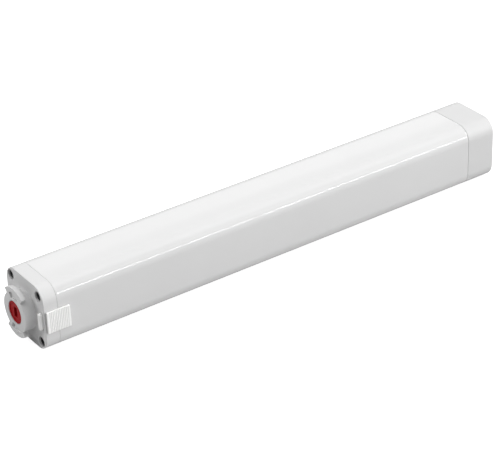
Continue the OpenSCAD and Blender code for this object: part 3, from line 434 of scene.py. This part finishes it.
# The finish of each material slot
FINISHES = {
    "white_tube": moulded("tube_lacquer", (0.86, 0.86, 0.86), drift=0.4, rough=0.5,
                          gloss_drift=0.06, grain=700.0, height=0.002, Specular_IOR_Level=0.25,
                          Coat_Weight=0.5, Coat_Roughness=0.03, Coat_IOR=1.5),
    "white_cap": moulded("cap_plastic", (0.85, 0.85, 0.85), rough=0.42, grain=2200.0,
                         height=0.03, Specular_IOR_Level=0.3),
    "grey_head": moulded("head_plastic", (0.866, 0.866, 0.866), rough=0.42, grain=2200.0,
                         height=0.03, Specular_IOR_Level=0.3),
    "white_latch": moulded("latch_plastic", (0.995, 0.995, 0.99), drift=0.2, rough=0.35,
                           grain=2600.0, height=0.01, Specular_IOR_Level=0.9,
                           Coat_Weight=0.3, Coat_Roughness=0.2),
    "red_socket": moulded("socket_plastic", (0.65, 0.05, 0.08), deep=(0.56, 0.04, 0.06),
                          rough=0.5, grain=2000.0, height=0.015, Specular_IOR_Level=0.12),
    "button_grey": moulded("button_plastic", (0.7, 0.7, 0.71), rough=0.4, grain=2200.0),
    "black_plastic": moulded("black_plastic", (0.12, 0.12, 0.125), deep=(0.09, 0.09, 0.095),
                             grain=1800.0),
    "rubber": moulded("damper_rubber", (0.1, 0.1, 0.1), deep=(0.07, 0.07, 0.07), rough=0.8,
                      grain=1200.0, height=0.05),
    "gear_plastic": moulded("gear_nylon", (0.93, 0.91, 0.84), rough=0.4, grain=1600.0,
                            Subsurface_Weight=0.05),
    "white_nylon": moulded("white_nylon", (0.9, 0.9, 0.86), rough=0.42, grain=1600.0),
    "ferrite": moulded("ferrite", (0.24, 0.24, 0.25), deep=(0.16, 0.16, 0.17), drift=0.9,
                       rough=0.7, grain=900.0, height=0.05),
    "capacitor_sleeve": moulded("capacitor_sleeve", (0.1, 0.13, 0.32), deep=(0.07, 0.09, 0.25),
                                rough=0.3, grain=500.0),
    "transformer_tape": moulded("transformer_tape", (0.86, 0.72, 0.25), deep=(0.78, 0.62, 0.18),
                                rough=0.4, grain=600.0),
    "red_wire": moulded("wire_insulation", (0.7, 0.1, 0.08), deep=(0.6, 0.07, 0.06), rough=0.35,
                        grain=900.0),
    "clear_pipe": moulded("lamp_pipe", (0.92, 0.94, 0.95), rough=0.12, gloss_drift=0.04,
                          height=0.004, Transmission_Weight=0.75, IOR=1.49),
    "screw_steel": metal("screw_steel", (0.17, 0.17, 0.175), ROUND_X, rough=0.32),
    "bright_steel": metal("bright_steel", (0.78, 0.78, 0.79), ROUND_X, rough=0.18),
    "spring_steel": metal("spring_steel", (0.7, 0.7, 0.71), ALONG_X, rough=0.25),
    "case_alloy": metal("case_alloy", (0.72, 0.73, 0.74), EVEN, rough=0.42),
    "shield_can": metal("can_steel", (0.75, 0.75, 0.76), ALONG_X, rough=0.3),
    "brass": metal("brass", (0.8, 0.68, 0.4), ROUND_X, rough=0.22),
    # Copper winding and ribbon cable: the gap colour of their bands is painted shade between the
    # wires
    "copper": banded("copper_winding", "X", {"Scale": 420.0, "Distortion": 0.6, "Detail": 1.0},
                     gap_shade=(0.35, 0.14, 0.06), pale=(0.8, 0.45, 0.24), strength=0.8, height=0.1,
                     Metallic=0.8, Roughness=0.3),
    "ribbon": banded("ribbon_cable", "Y", {"Scale": 125.0, "Distortion": 0.0},
                     gap_shade=(0.66, 0.66, 0.66), pale=(0.84, 0.84, 0.83), strength=0.7, height=0.15,
                     Roughness=0.5),
    "circuit_board": circuit_board(),
}


def piece(name, skin, slot, body, stands_for, rounding=0.0, even=True):
    """Puts a skin on a body in place of nodes, with its points merged and its faces outwards."""
    mesh = skin.mesh(name)
    work = bmesh.new()
    work.from_mesh(mesh)
    bmesh.ops.remove_doubles(work, verts=work.verts, dist=SAME_PLACE)
    bmesh.ops.dissolve_degenerate(work, edges=work.edges, dist=SAME_PLACE)
    bmesh.ops.recalc_face_normals(work, faces=work.faces)
    work.to_mesh(mesh)
    work.free()
    mesh.shade_smooth()
    mesh.materials.append(FINISHES[slot])
    obj = new_object(name, mesh)
    if rounding:
        soft = obj.modifiers.new("rounded edges", "BEVEL")
        soft.width, soft.segments = rounding * MM, 3
        soft.limit_method, soft.angle_limit = "ANGLE", math.radians(35)
        soft.use_clamp_overlap = True
    if even:
        obj.modifiers.new("even shading", "WEIGHTED_NORMAL").keep_sharp = True
    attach(obj, body)
    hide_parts(*stands_for)
    return obj


# Shown pieces

SECTION = rounded_box(SIDE, SIDE, CORNER_R, 32)
SCREW_AXES = [(sy * SCREW_POS, sz * SCREW_POS) for sy in (-1, 1) for sz in (-1, 1)]
RECESSES = [circle(RECESS_R, 48, axis) for axis in SCREW_AXES]
HOLES = [circle(SCREW_HOLE_R, 48, axis) for axis in SCREW_AXES]


def cross(half_w, half_arm):
    """Plus shape of two bars."""
    w, a = half_w, half_arm
    quarter = [(-a, w), (a, w), (a, a)]
    turns = [[(y, z), (z, -y), (-y, -z), (-z, y)] for y, z in quarter]
    return np.array([[turn[k] for turn in turns] for k in range(4)], float).reshape(-1, 2)


def plug_outline(latch_room=None):
    """Plus shape with a groove in both side arms for the tube's rails.

    Latch room is the (y, half height) of a notch cut in at -Y.
    """
    w, a, groove = PLUG_HALF, 15.45, 22.05
    low, high = -14.25, -9.75
    right = [(w, a), (w, high), (groove, high), (groove, low), (w, low), (w, -a)]
    left = [(-y, z) for y, z in right[::-1]]
    if latch_room:
        y, half = latch_room
        left[-1:-1] = [(-w, -half), (y, -half), (y, half), (-w, half)]
    points = [(-a, w), (a, w), (a, a), *right, (a, -a)]
    points += [(a, -w), (-a, -w), (-a, -a), *left, (-a, a)]
    return apart(np.array(points, float))


def tube_bore():
    """Inside of the extrusion.

    A rounded square runs round a slit screw channel in each corner, and over two rails on each
    side.
    """
    wall_y, wall_r, wall_mid = 24.2, 10.2, 14.0
    channel_r, screw_r, slit = 3.4, 1.75, 0.8
    apart_by = (SCREW_POS - wall_mid) * math.sqrt(2)
    along = (wall_r**2 - channel_r**2 + apart_by**2) / (2 * apart_by)
    across = math.sqrt(wall_r**2 - along**2)
    on_wall = math.degrees(math.atan2(across, along))
    on_channel = math.degrees(math.atan2(across, along - apart_by))
    outer_slit, inner_slit = (math.degrees(math.asin(slit / r)) for r in (channel_r, screw_r))

    def corner(k, first=0.0, last=90.0):
        """Arcs of one corner: radius, middle along the diagonal, first and last angle."""
        runs = [
            (wall_r, wall_mid, first, 45 - on_wall),
            (channel_r, SCREW_POS, 45 - on_channel, outer_slit - 135),
            (screw_r, SCREW_POS, inner_slit - 135, 225 - inner_slit),
            (channel_r, SCREW_POS, 225 - outer_slit, 45 + on_channel),
            (wall_r, wall_mid, 45 + on_wall, last),
        ]
        diagonal = np.array([(1, 1), (1, -1), (-1, -1), (-1, 1)][k])
        arcs = []
        for r, middle, a, b in runs:
            angles = np.linspace(a, b, max(6, int(abs(b - a) / 6)))
            arcs.append(polar(r, 90 * k + angles) + diagonal * middle)
        return np.concatenate(arcs)

    rail_y, past_middle = 22.2, 0.1
    rail_end = math.degrees(math.asin(past_middle / wall_r))
    rails = np.array([
        (wall_y, -9.9), (rail_y, -9.9), (rail_y, -11.1), (wall_y, -11.1),
        (wall_y, -12.9), (rail_y, -12.9), (rail_y, -wall_mid - past_middle),
    ])
    parts = [corner(0), rails, corner(1, first=rail_end), corner(2, last=90 - rail_end),
             rails[::-1] * (-1, 1), corner(3)]
    return apart(np.concatenate(parts))


def tube_shell():
    """The extrusion: its outside and its inside along X, with a small round at each end."""
    skin = Skin()
    inner = tube_bore()
    head_end, tail_end = HEAD_X + SEAM, TAIL_X - SEAM
    # Two rows close to the ends keep the turned normals of the rounds off the long faces
    close = 1.2
    rows = edge_rows(SECTION, head_end, SEAM_ROUND, -1)[::-1]
    rows += [at_x(SECTION, head_end + close), at_x(SECTION, tail_end - close)]
    rows += edge_rows(SECTION, tail_end, SEAM_ROUND, 1)
    skin.grid(rows)
    skin.wall(inner, head_end, tail_end)
    for row in (rows[0], rows[-1]):
        skin.face([row[:, 1:], inner], row[0, 0])
    return skin


def side_wall(skin, x0, x1, slot):
    """The head's wall from x0 to x1. Its flat -Y side has the slot of the latch's neck."""
    around = from_flat(SECTION)
    skin.grid([at_x(around, x0), at_x(around, x1)], closed=False)
    low, high = around[-1, 1], around[0, 1]
    wall = np.array([(x0, low), (x1, low), (x1, high), (x0, high)])

    def on_side(flat):
        """(X, Z) pairs put on the -Y side."""
        return np.column_stack([flat[:, 0], np.full(len(flat), -HALF), flat[:, 1]])

    skin.sheet([wall, slot], on_side)


def head_shell():
    """The moulded head: block, boss, ears, pockets, recesses, the latch's slideway and the plug."""
    skin = Skin()
    rim = edge_rows(SECTION, 0.0, END_ROUND, -1)
    skin.grid(rim)
    slot = np.array([(SLOT_X0, -SLOT_HALF), (SLOT_X1, -SLOT_HALF),
                     (SLOT_X1, SLOT_HALF), (SLOT_X0, SLOT_HALF)])
    side_wall(skin, END_ROUND, HEAD_X, slot)

    # Boss and ears, with shared places where the ears begin
    ear = np.linspace(-EAR_HALF, EAR_HALF, 25)
    side = np.linspace(EAR_HALF, 180 - EAR_HALF, 33)
    boss = polar(BOSS_R, np.concatenate([ear[:-1], side[:-1], ear[:-1] + 180, side[:-1] + 180]))
    eared = np.concatenate([
        polar(EAR_R, ear), polar(BOSS_R, side), polar(EAR_R, ear + 180), polar(BOSS_R, side + 180),
    ])
    tunnel = rounded_box(TUNNEL_W, TUNNEL_H, TUNNEL_W / 2, 12, (TONGUE_Y, 0.0))
    skin.face([rim[-1][:, 1:], boss, tunnel] + RECESSES, 0.0)
    skin.wall(boss, 0.0, EAR_BACK_X)
    for turn in (0, 180):
        arcs = [at_x(polar(r, ear + turn), EAR_BACK_X) for r in (BOSS_R, EAR_R)]
        skin.grid(arcs, closed=False)
    skin.wall(eared, EAR_BACK_X, BOSS_X)
    bore = circle(BORE_R, 96)
    pocket_half, notch_half = 24, 2.2
    pockets = [sector(15.8, 11.0, a - pocket_half, a + pocket_half, 20) for a in (0, 180)]
    notches = [sector(15.4, 11.4, a - notch_half, a + notch_half, 4) for a in (19.6, 160.4)]
    skin.face([eared, bore] + pockets, BOSS_X)
    for pocket, notch in zip(pockets, notches):
        skin.wall(pocket, BOSS_X, POCKET_X)
        skin.face([pocket, notch], POCKET_X)
        skin.wall(notch, POCKET_X, NOTCH_X)
        skin.face([notch], NOTCH_X)

    # Bore, lip and bearing seat
    lip, seat = circle(7.6, 96), circle(9.5, 96)
    lip_x, seat_x, back_x = 3.6, 4.6, 22.2
    skin.wall(bore, BOSS_X, lip_x)
    skin.grid([at_x(bore, lip_x), at_x(lip, lip_x), at_x(lip, seat_x), at_x(seat, seat_x),
               at_x(seat, back_x)])

    # Screw recesses, and their holes through the block
    for recess, hole in zip(RECESSES, HOLES):
        skin.grid([at_x(recess, 0.0), at_x(recess, RECESS_DEEP), at_x(hole, RECESS_DEEP),
                   at_x(hole, HEAD_X)])

    # The tongue's tunnel, open at its outer side where the neck passes
    around = np.array([at_x(from_flat(tunnel), x) for x in (0.0, SLOT_X0, SLOT_X1, HEAD_X)])
    skin.grid(around, closed=False)
    lower, upper = around[:, -1], around[:, 0]
    for k in (0, 2):
        skin.cap([lower[k], lower[k + 1], upper[k + 1], upper[k]])
    skin.grid([[(x, y, z) for x, z in slot] for y in (-HALF, TONGUE_Y - TUNNEL_W / 2)])

    # Back of the block, and the plug with its room for the latch spring
    room_y, room_half = -19.3, 7.7
    notched = plug_outline((room_y, room_half))
    plain = plug_outline((-PLUG_HALF, room_half))
    room = np.array([(-PLUG_HALF, -room_half), (-PLUG_HALF, room_half),
                     (room_y, room_half), (room_y, -room_half)])
    skin.face([SECTION, notched, tunnel] + HOLES, HEAD_X)
    skin.wall(notched, HEAD_X, SPRING_X1)
    skin.face([room], SPRING_X1)
    skin.wall(plain, SPRING_X1, back_x)

    # Three hollows that keep the walls even, and the holes of the gearbox bolts
    hollow_x, bolt_x, bolt_pos = 3.0, 15.2, 14.03
    hollow = np.array([(-8.0, 21.8), (8.0, 21.8), (8.0, 11.7), (-8.0, 11.7)])
    hollows = [hollow, hollow[::-1] * (1, -1), hollow[::-1][:, ::-1]]
    bolts = [circle(1.0, 24, (sy * bolt_pos, sz * bolt_pos)) for sy in (-1, 1) for sz in (-1, 1)]
    for outline, floor_x in [(h, hollow_x) for h in hollows] + [(b, bolt_x) for b in bolts]:
        skin.wall(outline, back_x, floor_x)
        skin.face([outline], floor_x)
    skin.face([plain, seat] + hollows + bolts, back_x)
    return skin


def screws(head_x, towards, length):
    """Four socket screws, each a turned head with a hexagon socket and a threaded shank.

    The shank's radius falls by depth times (1 + cos) of the angle to the helix. Places along a
    screw count from under its head, in the direction towards times X.
    """
    skin = Skin()
    steps, top, socket_floor = 48, -2.3, -0.8
    rim = [(top, 2.95), (-2.22, 3.12), (-2.05, 3.2), (-0.12, 3.2), (0.0, 3.08), (0.0, 1.75)]
    shank_r, tip_r, depth, pitch = 1.75, 1.2, 0.13, 0.8
    u = np.arange(0.9, length, 0.16)[:, None]
    turn = np.arange(steps)[None, :] / steps
    ridge = shank_r - depth * (1 + np.cos(2 * math.pi * (u / pitch - turn)))
    angle = 2 * math.pi * turn

    def x_of(along):
        return head_x + towards * along

    for axis in SCREW_AXES:
        hexagon = circle(1.7, 6) + axis
        skin.grid([at_x(circle(r, steps, axis), x_of(at)) for at, r in rim])
        skin.face([circle(rim[0][1], steps, axis), hexagon], x_of(top))
        skin.wall(hexagon, x_of(top), x_of(socket_floor))
        skin.cap(at_x(hexagon, x_of(socket_floor)))
        y, z = axis[0] + ridge * np.sin(angle), axis[1] + ridge * np.cos(angle)
        thread = np.stack([x_of(u) + 0 * turn, y, z], -1)
        neck = [at_x(circle(shank_r, steps, axis), x_of(at)) for at in (0.0, 0.7)]
        tip = at_x(circle(tip_r, steps, axis), x_of(length))
        skin.grid([*neck, *thread, tip])
        skin.cap(tip)
    return skin


def latch_slider():
    """Tongue, neck and thumb pad.

    Twelve grooves cut the pad's outside. Their depth falls with the cube of the distance from
    their middle.
    """
    skin = Skin()
    tongue_w, nose_x, nose_r = 3.8, -2.6, 1.1
    tongue = rounded_box(tongue_w, 14.0, tongue_w / 2, 12, (TONGUE_Y, 0.0))
    nose = edge_rows(tongue, nose_x, nose_r, -1, 6)
    skin.grid(nose[::-1] + [at_x(tongue, SPRING_X0)])
    skin.cap(nose[-1])
    skin.cap(at_x(tongue, SPRING_X0))
    neck_y, neck_x0, neck_x1 = -25.05, 2.0, 5.5
    neck = rounded_box(2.9, 10.0, 0.3, 3, (neck_y, 0.0))
    skin.wall(neck, neck_x0, neck_x1)
    skin.cap(at_x(neck, neck_x0))
    skin.cap(at_x(neck, neck_x1))

    # Pad: an (x, y) profile carried along Z and drawn in a little at both ends
    x0, x1, base, top = 1.3, 20.3, -26.3, -28.0
    round_r = 0.35
    a = np.linspace(0, math.pi / 2, 5)
    in_by, down_by = round_r * (1 - np.cos(a)), round_r * (1 - np.sin(a))
    left = np.stack([x0 + in_by, top + down_by], -1)
    right = np.stack([x1 - in_by, top + down_by], -1)[::-1]
    first, pitch, half_w, depth = x0 + 2.075, 1.35, 0.42, 0.3
    across = np.linspace(-1, 1, 13)
    floor = top + depth * (1 - np.abs(across) ** 3)
    grooves = [np.stack([first + pitch * k + half_w * across, floor], -1) for k in range(12)]
    profile = np.concatenate([[(x0, base)], left, *grooves, right, [(x1, base)]])
    middle = np.array([(x0 + x1) / 2, base])
    half = np.array([(x1 - x0) / 2, base - top])
    rows = []
    for z, pull in ((-8.6, 0.35), (-8.5, 0.12), (-8.3, 0.0), (8.3, 0.0), (8.5, 0.12), (8.6, 0.35)):
        drawn = middle + (profile - middle) * (1 - pull / half)
        rows.append(np.column_stack([drawn, np.full(len(drawn), z)]))
    skin.grid(rows)
    skin.cap(rows[0])
    skin.cap(rows[-1])
    return skin


def drive_socket():
    """Coupling: a rim round a sunk disc, an upright slot with round corners, and a square hole
    behind."""
    skin = Skin()
    outside, inside = circle(8.6, 96), circle(7.2, 96)
    slot = rounded_box(4.3, 8.4, 0.5, 4)
    square = rounded_box(6.6, 6.6, 0.3, 2)
    front_x, disc_x, slot_x, square_x, back_x = -9.1, -8.7, -3.6, -2.1, 3.2
    skin.face([outside, inside], front_x)
    skin.wall(inside, front_x, disc_x)
    skin.face([inside, slot], disc_x)
    skin.wall(slot, disc_x, slot_x)
    skin.face([slot], slot_x)
    skin.wall(outside, front_x, back_x)
    skin.face([outside, square], back_x)
    skin.wall(square, back_x, square_x)
    skin.face([square], square_x)
    return skin


def latch_spring():
    """Coil: a round wire carried along a helix whose turns lie close at both ends."""
    skin = Skin()
    turns, wire_r, coil_r, crowding = 9, 0.225, 1.475, 0.06
    t = np.linspace(0, 1, turns * 24 + 1)[:, None]
    along = t - crowding * np.sin(2 * math.pi * t)
    x = SPRING_X0 + wire_r + (SPRING_X1 - SPRING_X0 - 2 * wire_r) * along
    a = 2 * math.pi * turns * t
    b = np.arange(10)[None, :] * 2 * math.pi / 10
    r = coil_r + wire_r * np.cos(b)
    rows = np.stack([x + wire_r * np.sin(b), TONGUE_Y + r * np.sin(a), r * np.cos(a)], -1)
    skin.grid(rows)
    skin.cap(rows[0])
    skin.cap(rows[-1])
    return skin


def tail_cap():
    """The moulded tail cap: block, recesses, end wall with three openings, hollow, posts, plug."""
    skin = Skin()
    start, inner_x, plug_x, seat_x = TAIL_X + SEAM, 415.5, 382.0, END_X - RECESS_DEEP
    seam_edge = edge_rows(SECTION, start, SEAM_ROUND, -1)
    far_edge = edge_rows(SECTION, END_X, END_ROUND, 1)
    skin.grid(seam_edge[::-1] + far_edge)
    window = rounded_box(17.4, 10.0, 0.6, 4, INLET_AXIS)
    openings = [window, circle(3.5, 64, BUTTON_AXIS), circle(1.85, 48, LAMP_AXIS)]
    posts = [circle(2.2, 32, (y, 0.0)) for y in (-17.0, 17.0)]
    hollow, plug = cross(20.25, 13.65), plug_outline()
    skin.face([far_edge[-1][:, 1:]] + openings + RECESSES, END_X)
    for opening in openings:
        skin.wall(opening, END_X, inner_x)
    skin.face([hollow] + openings + posts, inner_x)
    for post in posts:
        skin.wall(post, inner_x, BOARD_X)
        skin.face([post], BOARD_X)
    for recess, hole in zip(RECESSES, HOLES):
        skin.grid([at_x(recess, END_X), at_x(recess, seat_x), at_x(hole, seat_x),
                   at_x(hole, start)])
    skin.wall(hollow, inner_x, plug_x)
    skin.face([plug, hollow], plug_x)
    skin.wall(plug, plug_x, start)
    skin.face([seam_edge[-1][:, 1:], plug] + HOLES, start)
    return skin


def power_inlet():
    """Inlet: a rounded box with a rounded well for the plug."""
    skin = Skin()
    outside = rounded_box(17.0, 9.6, 1.0, 6, INLET_AXIS)
    well = rounded_box(14.0, 6.6, 0.6, 4, INLET_AXIS)
    front_x, well_x = 416.8, 405.8
    skin.wall(outside, BOARD_X, front_x)
    skin.face([outside, well], front_x)
    skin.wall(well, front_x, well_x)
    skin.face([well], well_x)
    skin.cap(at_x(outside, BOARD_X))
    return skin


def inlet_pins():
    """Four contact pins with tapered ends."""
    skin = Skin()
    profile = [(BOARD_X, 0.0), (BOARD_X, 0.5), (411.0, 0.5), (411.5, 0.38), (411.75, 0.2),
               (411.8, 0.0)]
    for y in (-5.25, -1.75, 1.75, 5.25):
        skin.lathe(profile, 24, (y, INLET_AXIS[1]))
    return skin


def setting_button():
    """Turned cap, the collar behind the end wall, and the stem to the switch. The cap's top is
    dished: it rises with the square of the radius."""
    skin = Skin()
    dish = [(418.5 + 0.2 * r * r, 2.5 * r) for r in np.linspace(0, 1, 9)]
    edge = [(418.8, 2.78), (418.76, 2.95), (418.65, 3.1), (418.45, 3.19), (418.3, 3.2)]
    back = [(415.2, 3.2), (415.2, 4.1), (414.0, 4.1), (414.0, 1.5), (406.2, 1.5), (406.2, 0.0)]
    skin.lathe(dish + edge + back, 64, BUTTON_AXIS)
    return skin


def light_pipe():
    """Clear rod with a domed end: the dome's height falls with the square of the radius."""
    skin = Skin()
    rod_r, foot_x = 1.8, 404.4
    dome = [(END_X - 0.3 * r * r, rod_r * r) for r in np.linspace(0, 1, 9)]
    skin.lathe(dome + [(foot_x, rod_r), (foot_x, 0.0)], 48, LAMP_AXIS)
    return skin


piece("tube_shell", tube_shell(), "white_tube", "housing", ["body_tube"], even=False)
piece("head_shell", head_shell(), "grey_head", "housing", ["head_housing"], rounding=0.3)
piece("head_screw_set", screws(RECESS_DEEP, 1, 22.0), "screw_steel", "housing", ["head_screws"])
piece("latch_slider_piece", latch_slider(), "white_latch", "latch", ["latch_slider"])
spring = piece("latch_coil", latch_spring(), "spring_steel", "housing", ["latch_spring"])
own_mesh(spring)
piece("drive_coupling", drive_socket(), "red_socket", "output", ["drive_socket"], rounding=0.15)
piece("tail_cap_shell", tail_cap(), "white_cap", "housing", ["tail_cap"], rounding=0.25)
piece("tail_screw_set", screws(END_X - RECESS_DEEP, -1, 36.0), "screw_steel", "housing",
      ["tail_screws"])
piece("power_inlet_box", power_inlet(), "black_plastic", "housing", ["power_inlet"], rounding=0.2)
piece("inlet_pin_set", inlet_pins(), "brass", "housing", ["inlet_pins"])
piece("setting_button_cap", setting_button(), "button_grey", "button", ["setting_button"])
piece("lamp_light_pipe", light_pipe(), "clear_pipe", "housing", ["light_pipe"])

for part in frame["record"]["subparts"]:
    made = frame["nodes"][part["node"]]
    made.data.materials.clear()
    made.data.materials.append(FINISHES[part["material_slot"]])


# Floor, light and camera


def shown_white(tree, lit, white, mirror_share):
    """Gives way from a lit shader to plain white, by Light Path.

    The camera and clear pieces see the white, and mirrors see the given share of it.
    """
    rays = node(tree, "ShaderNodeLightPath")
    mirrored = node(tree, "ShaderNodeMath", {1: mirror_share}, operation="MULTIPLY")
    first = node(tree, "ShaderNodeMath", operation="MAXIMUM")
    both = node(tree, "ShaderNodeMath", operation="MAXIMUM")
    mixed = node(tree, "ShaderNodeMixShader")
    link = tree.links.new
    link(rays.outputs["Is Glossy Ray"], mirrored.inputs[0])
    link(rays.outputs["Is Camera Ray"], first.inputs[0])
    link(mirrored.outputs[0], first.inputs[1])
    link(first.outputs[0], both.inputs[0])
    link(rays.outputs["Is Transmission Ray"], both.inputs[1])
    link(both.outputs[0], mixed.inputs[0])
    link(lit, mixed.inputs[1])
    link(white, mixed.inputs[2])
    return mixed.outputs[0]


def make_floor(tone, glow_strength, mirror_share):
    """A round pale floor. What the eye sees of it is its own lit colour with white added."""
    skin = Skin()
    steps = 64
    flat_z = np.full(steps, -HALF)
    skin.grid([np.column_stack([circle(r, steps), flat_z]) for r in (0.001, 500.0, 2000.0, 9000.0)])
    mesh = skin.mesh("floor")
    finish = bpy.data.materials.new("floor_card")
    finish.use_nodes = True
    tree = finish.node_tree
    tree.nodes.clear()
    out = node(tree, "ShaderNodeOutputMaterial")
    card = node(tree, "ShaderNodeBsdfDiffuse", {"Color": linear((tone, tone, tone))})
    glow = node(tree, "ShaderNodeEmission", {"Strength": glow_strength})
    both = node(tree, "ShaderNodeAddShader")
    link = tree.links.new
    link(card.outputs[0], both.inputs[0])
    link(glow.outputs[0], both.inputs[1])
    shown = shown_white(tree, card.outputs[0], both.outputs[0], mirror_share)
    link(shown, out.inputs["Surface"])
    mesh.materials.append(finish)
    floor = new_object("floor", mesh)


def make_world(ambient):
    """White where it is seen, and an even soft light elsewhere."""
    world = bpy.data.worlds.new("studio")
    bpy.context.scene.world = world
    world.use_nodes = True
    tree = world.node_tree
    tree.nodes.clear()
    out = node(tree, "ShaderNodeOutputWorld")
    soft = node(tree, "ShaderNodeBackground", {"Strength": ambient})
    seen = node(tree, "ShaderNodeBackground", {"Strength": 1.0})
    shown = shown_white(tree, soft.outputs[0], seen.outputs[0], 1.0)
    tree.links.new(shown, out.inputs["Surface"])


def softbox(name, centre, target, size, radiance):
    """A rectangular lamp of even brightness: its power is four times radiance times area."""
    lamp = bpy.data.lights.new(name, "AREA")
    lamp.shape = "RECTANGLE"
    lamp.size, lamp.size_y = size
    lamp.energy = 4 * radiance * size[0] * size[1]
    obj = new_object(name, lamp)
    centre, target = Vector(centre), Vector(target)
    obj.location = centre
    obj.rotation_euler = (target - centre).to_track_quat("-Z", "Y").to_euler()


make_floor(tone=0.765, glow_strength=0.86, mirror_share=0.25)
make_world(ambient=0.1)
softbox("front_strip", (2.4, -3.0, 1.13), (2.4, 0.0, 1.13), (2.2, 0.3), 17.0)
softbox("front_mid", (2.6, -3.0, 2.68), (2.6, 0.0, 2.68), (2.4, 1.08), 1.35)
softbox("front_fill", (0.6, -3.0, 2.0), (0.4, 0.0, 0.0), (1.0, 3.0), 0.2)
softbox("right_high", (8.0, -4.4, 4.4), (0.2, 0.0, 0.0), (3.0, 3.6), 13.9)
softbox("top_front", (0.3, -0.5, 2.2), (0.3, -0.5, 0.0), (4.2, 1.0), 1.5)
softbox("top_back", (0.3, 0.8, 2.2), (0.3, 0.8, 0.0), (4.2, 1.6), 0.55)
softbox("back_low", (2.8, 3.75, 2.32), (2.8, 0.0, 2.32), (3.2, 0.6), 1.463)
softbox("back_high", (2.8, 3.75, 3.8), (2.8, 0.0, 3.8), (3.2, 2.36), 0.812)
softbox("left_key", (-2.1, 1.5, 1.9), (0.0, 0.0, 0.0), (0.8, 0.8), 12.8)

# Place, turn and lens were fitted to the photograph's outline, seams and edges
lens = bpy.data.cameras.new("camera")
lens.lens, lens.sensor_width = 143.23747, 36.0
lens.clip_start, lens.clip_end = 0.05, 50.0
camera = new_object("camera", lens)
camera.location = (-0.546469, -1.079282, 0.759138)
camera.rotation_euler = Euler([math.radians(a) for a in (59.817213, 1.667118, -35.48943)], "XYZ")
bpy.context.scene.camera = camera
bpy.context.scene.view_settings.view_transform = "Standard"
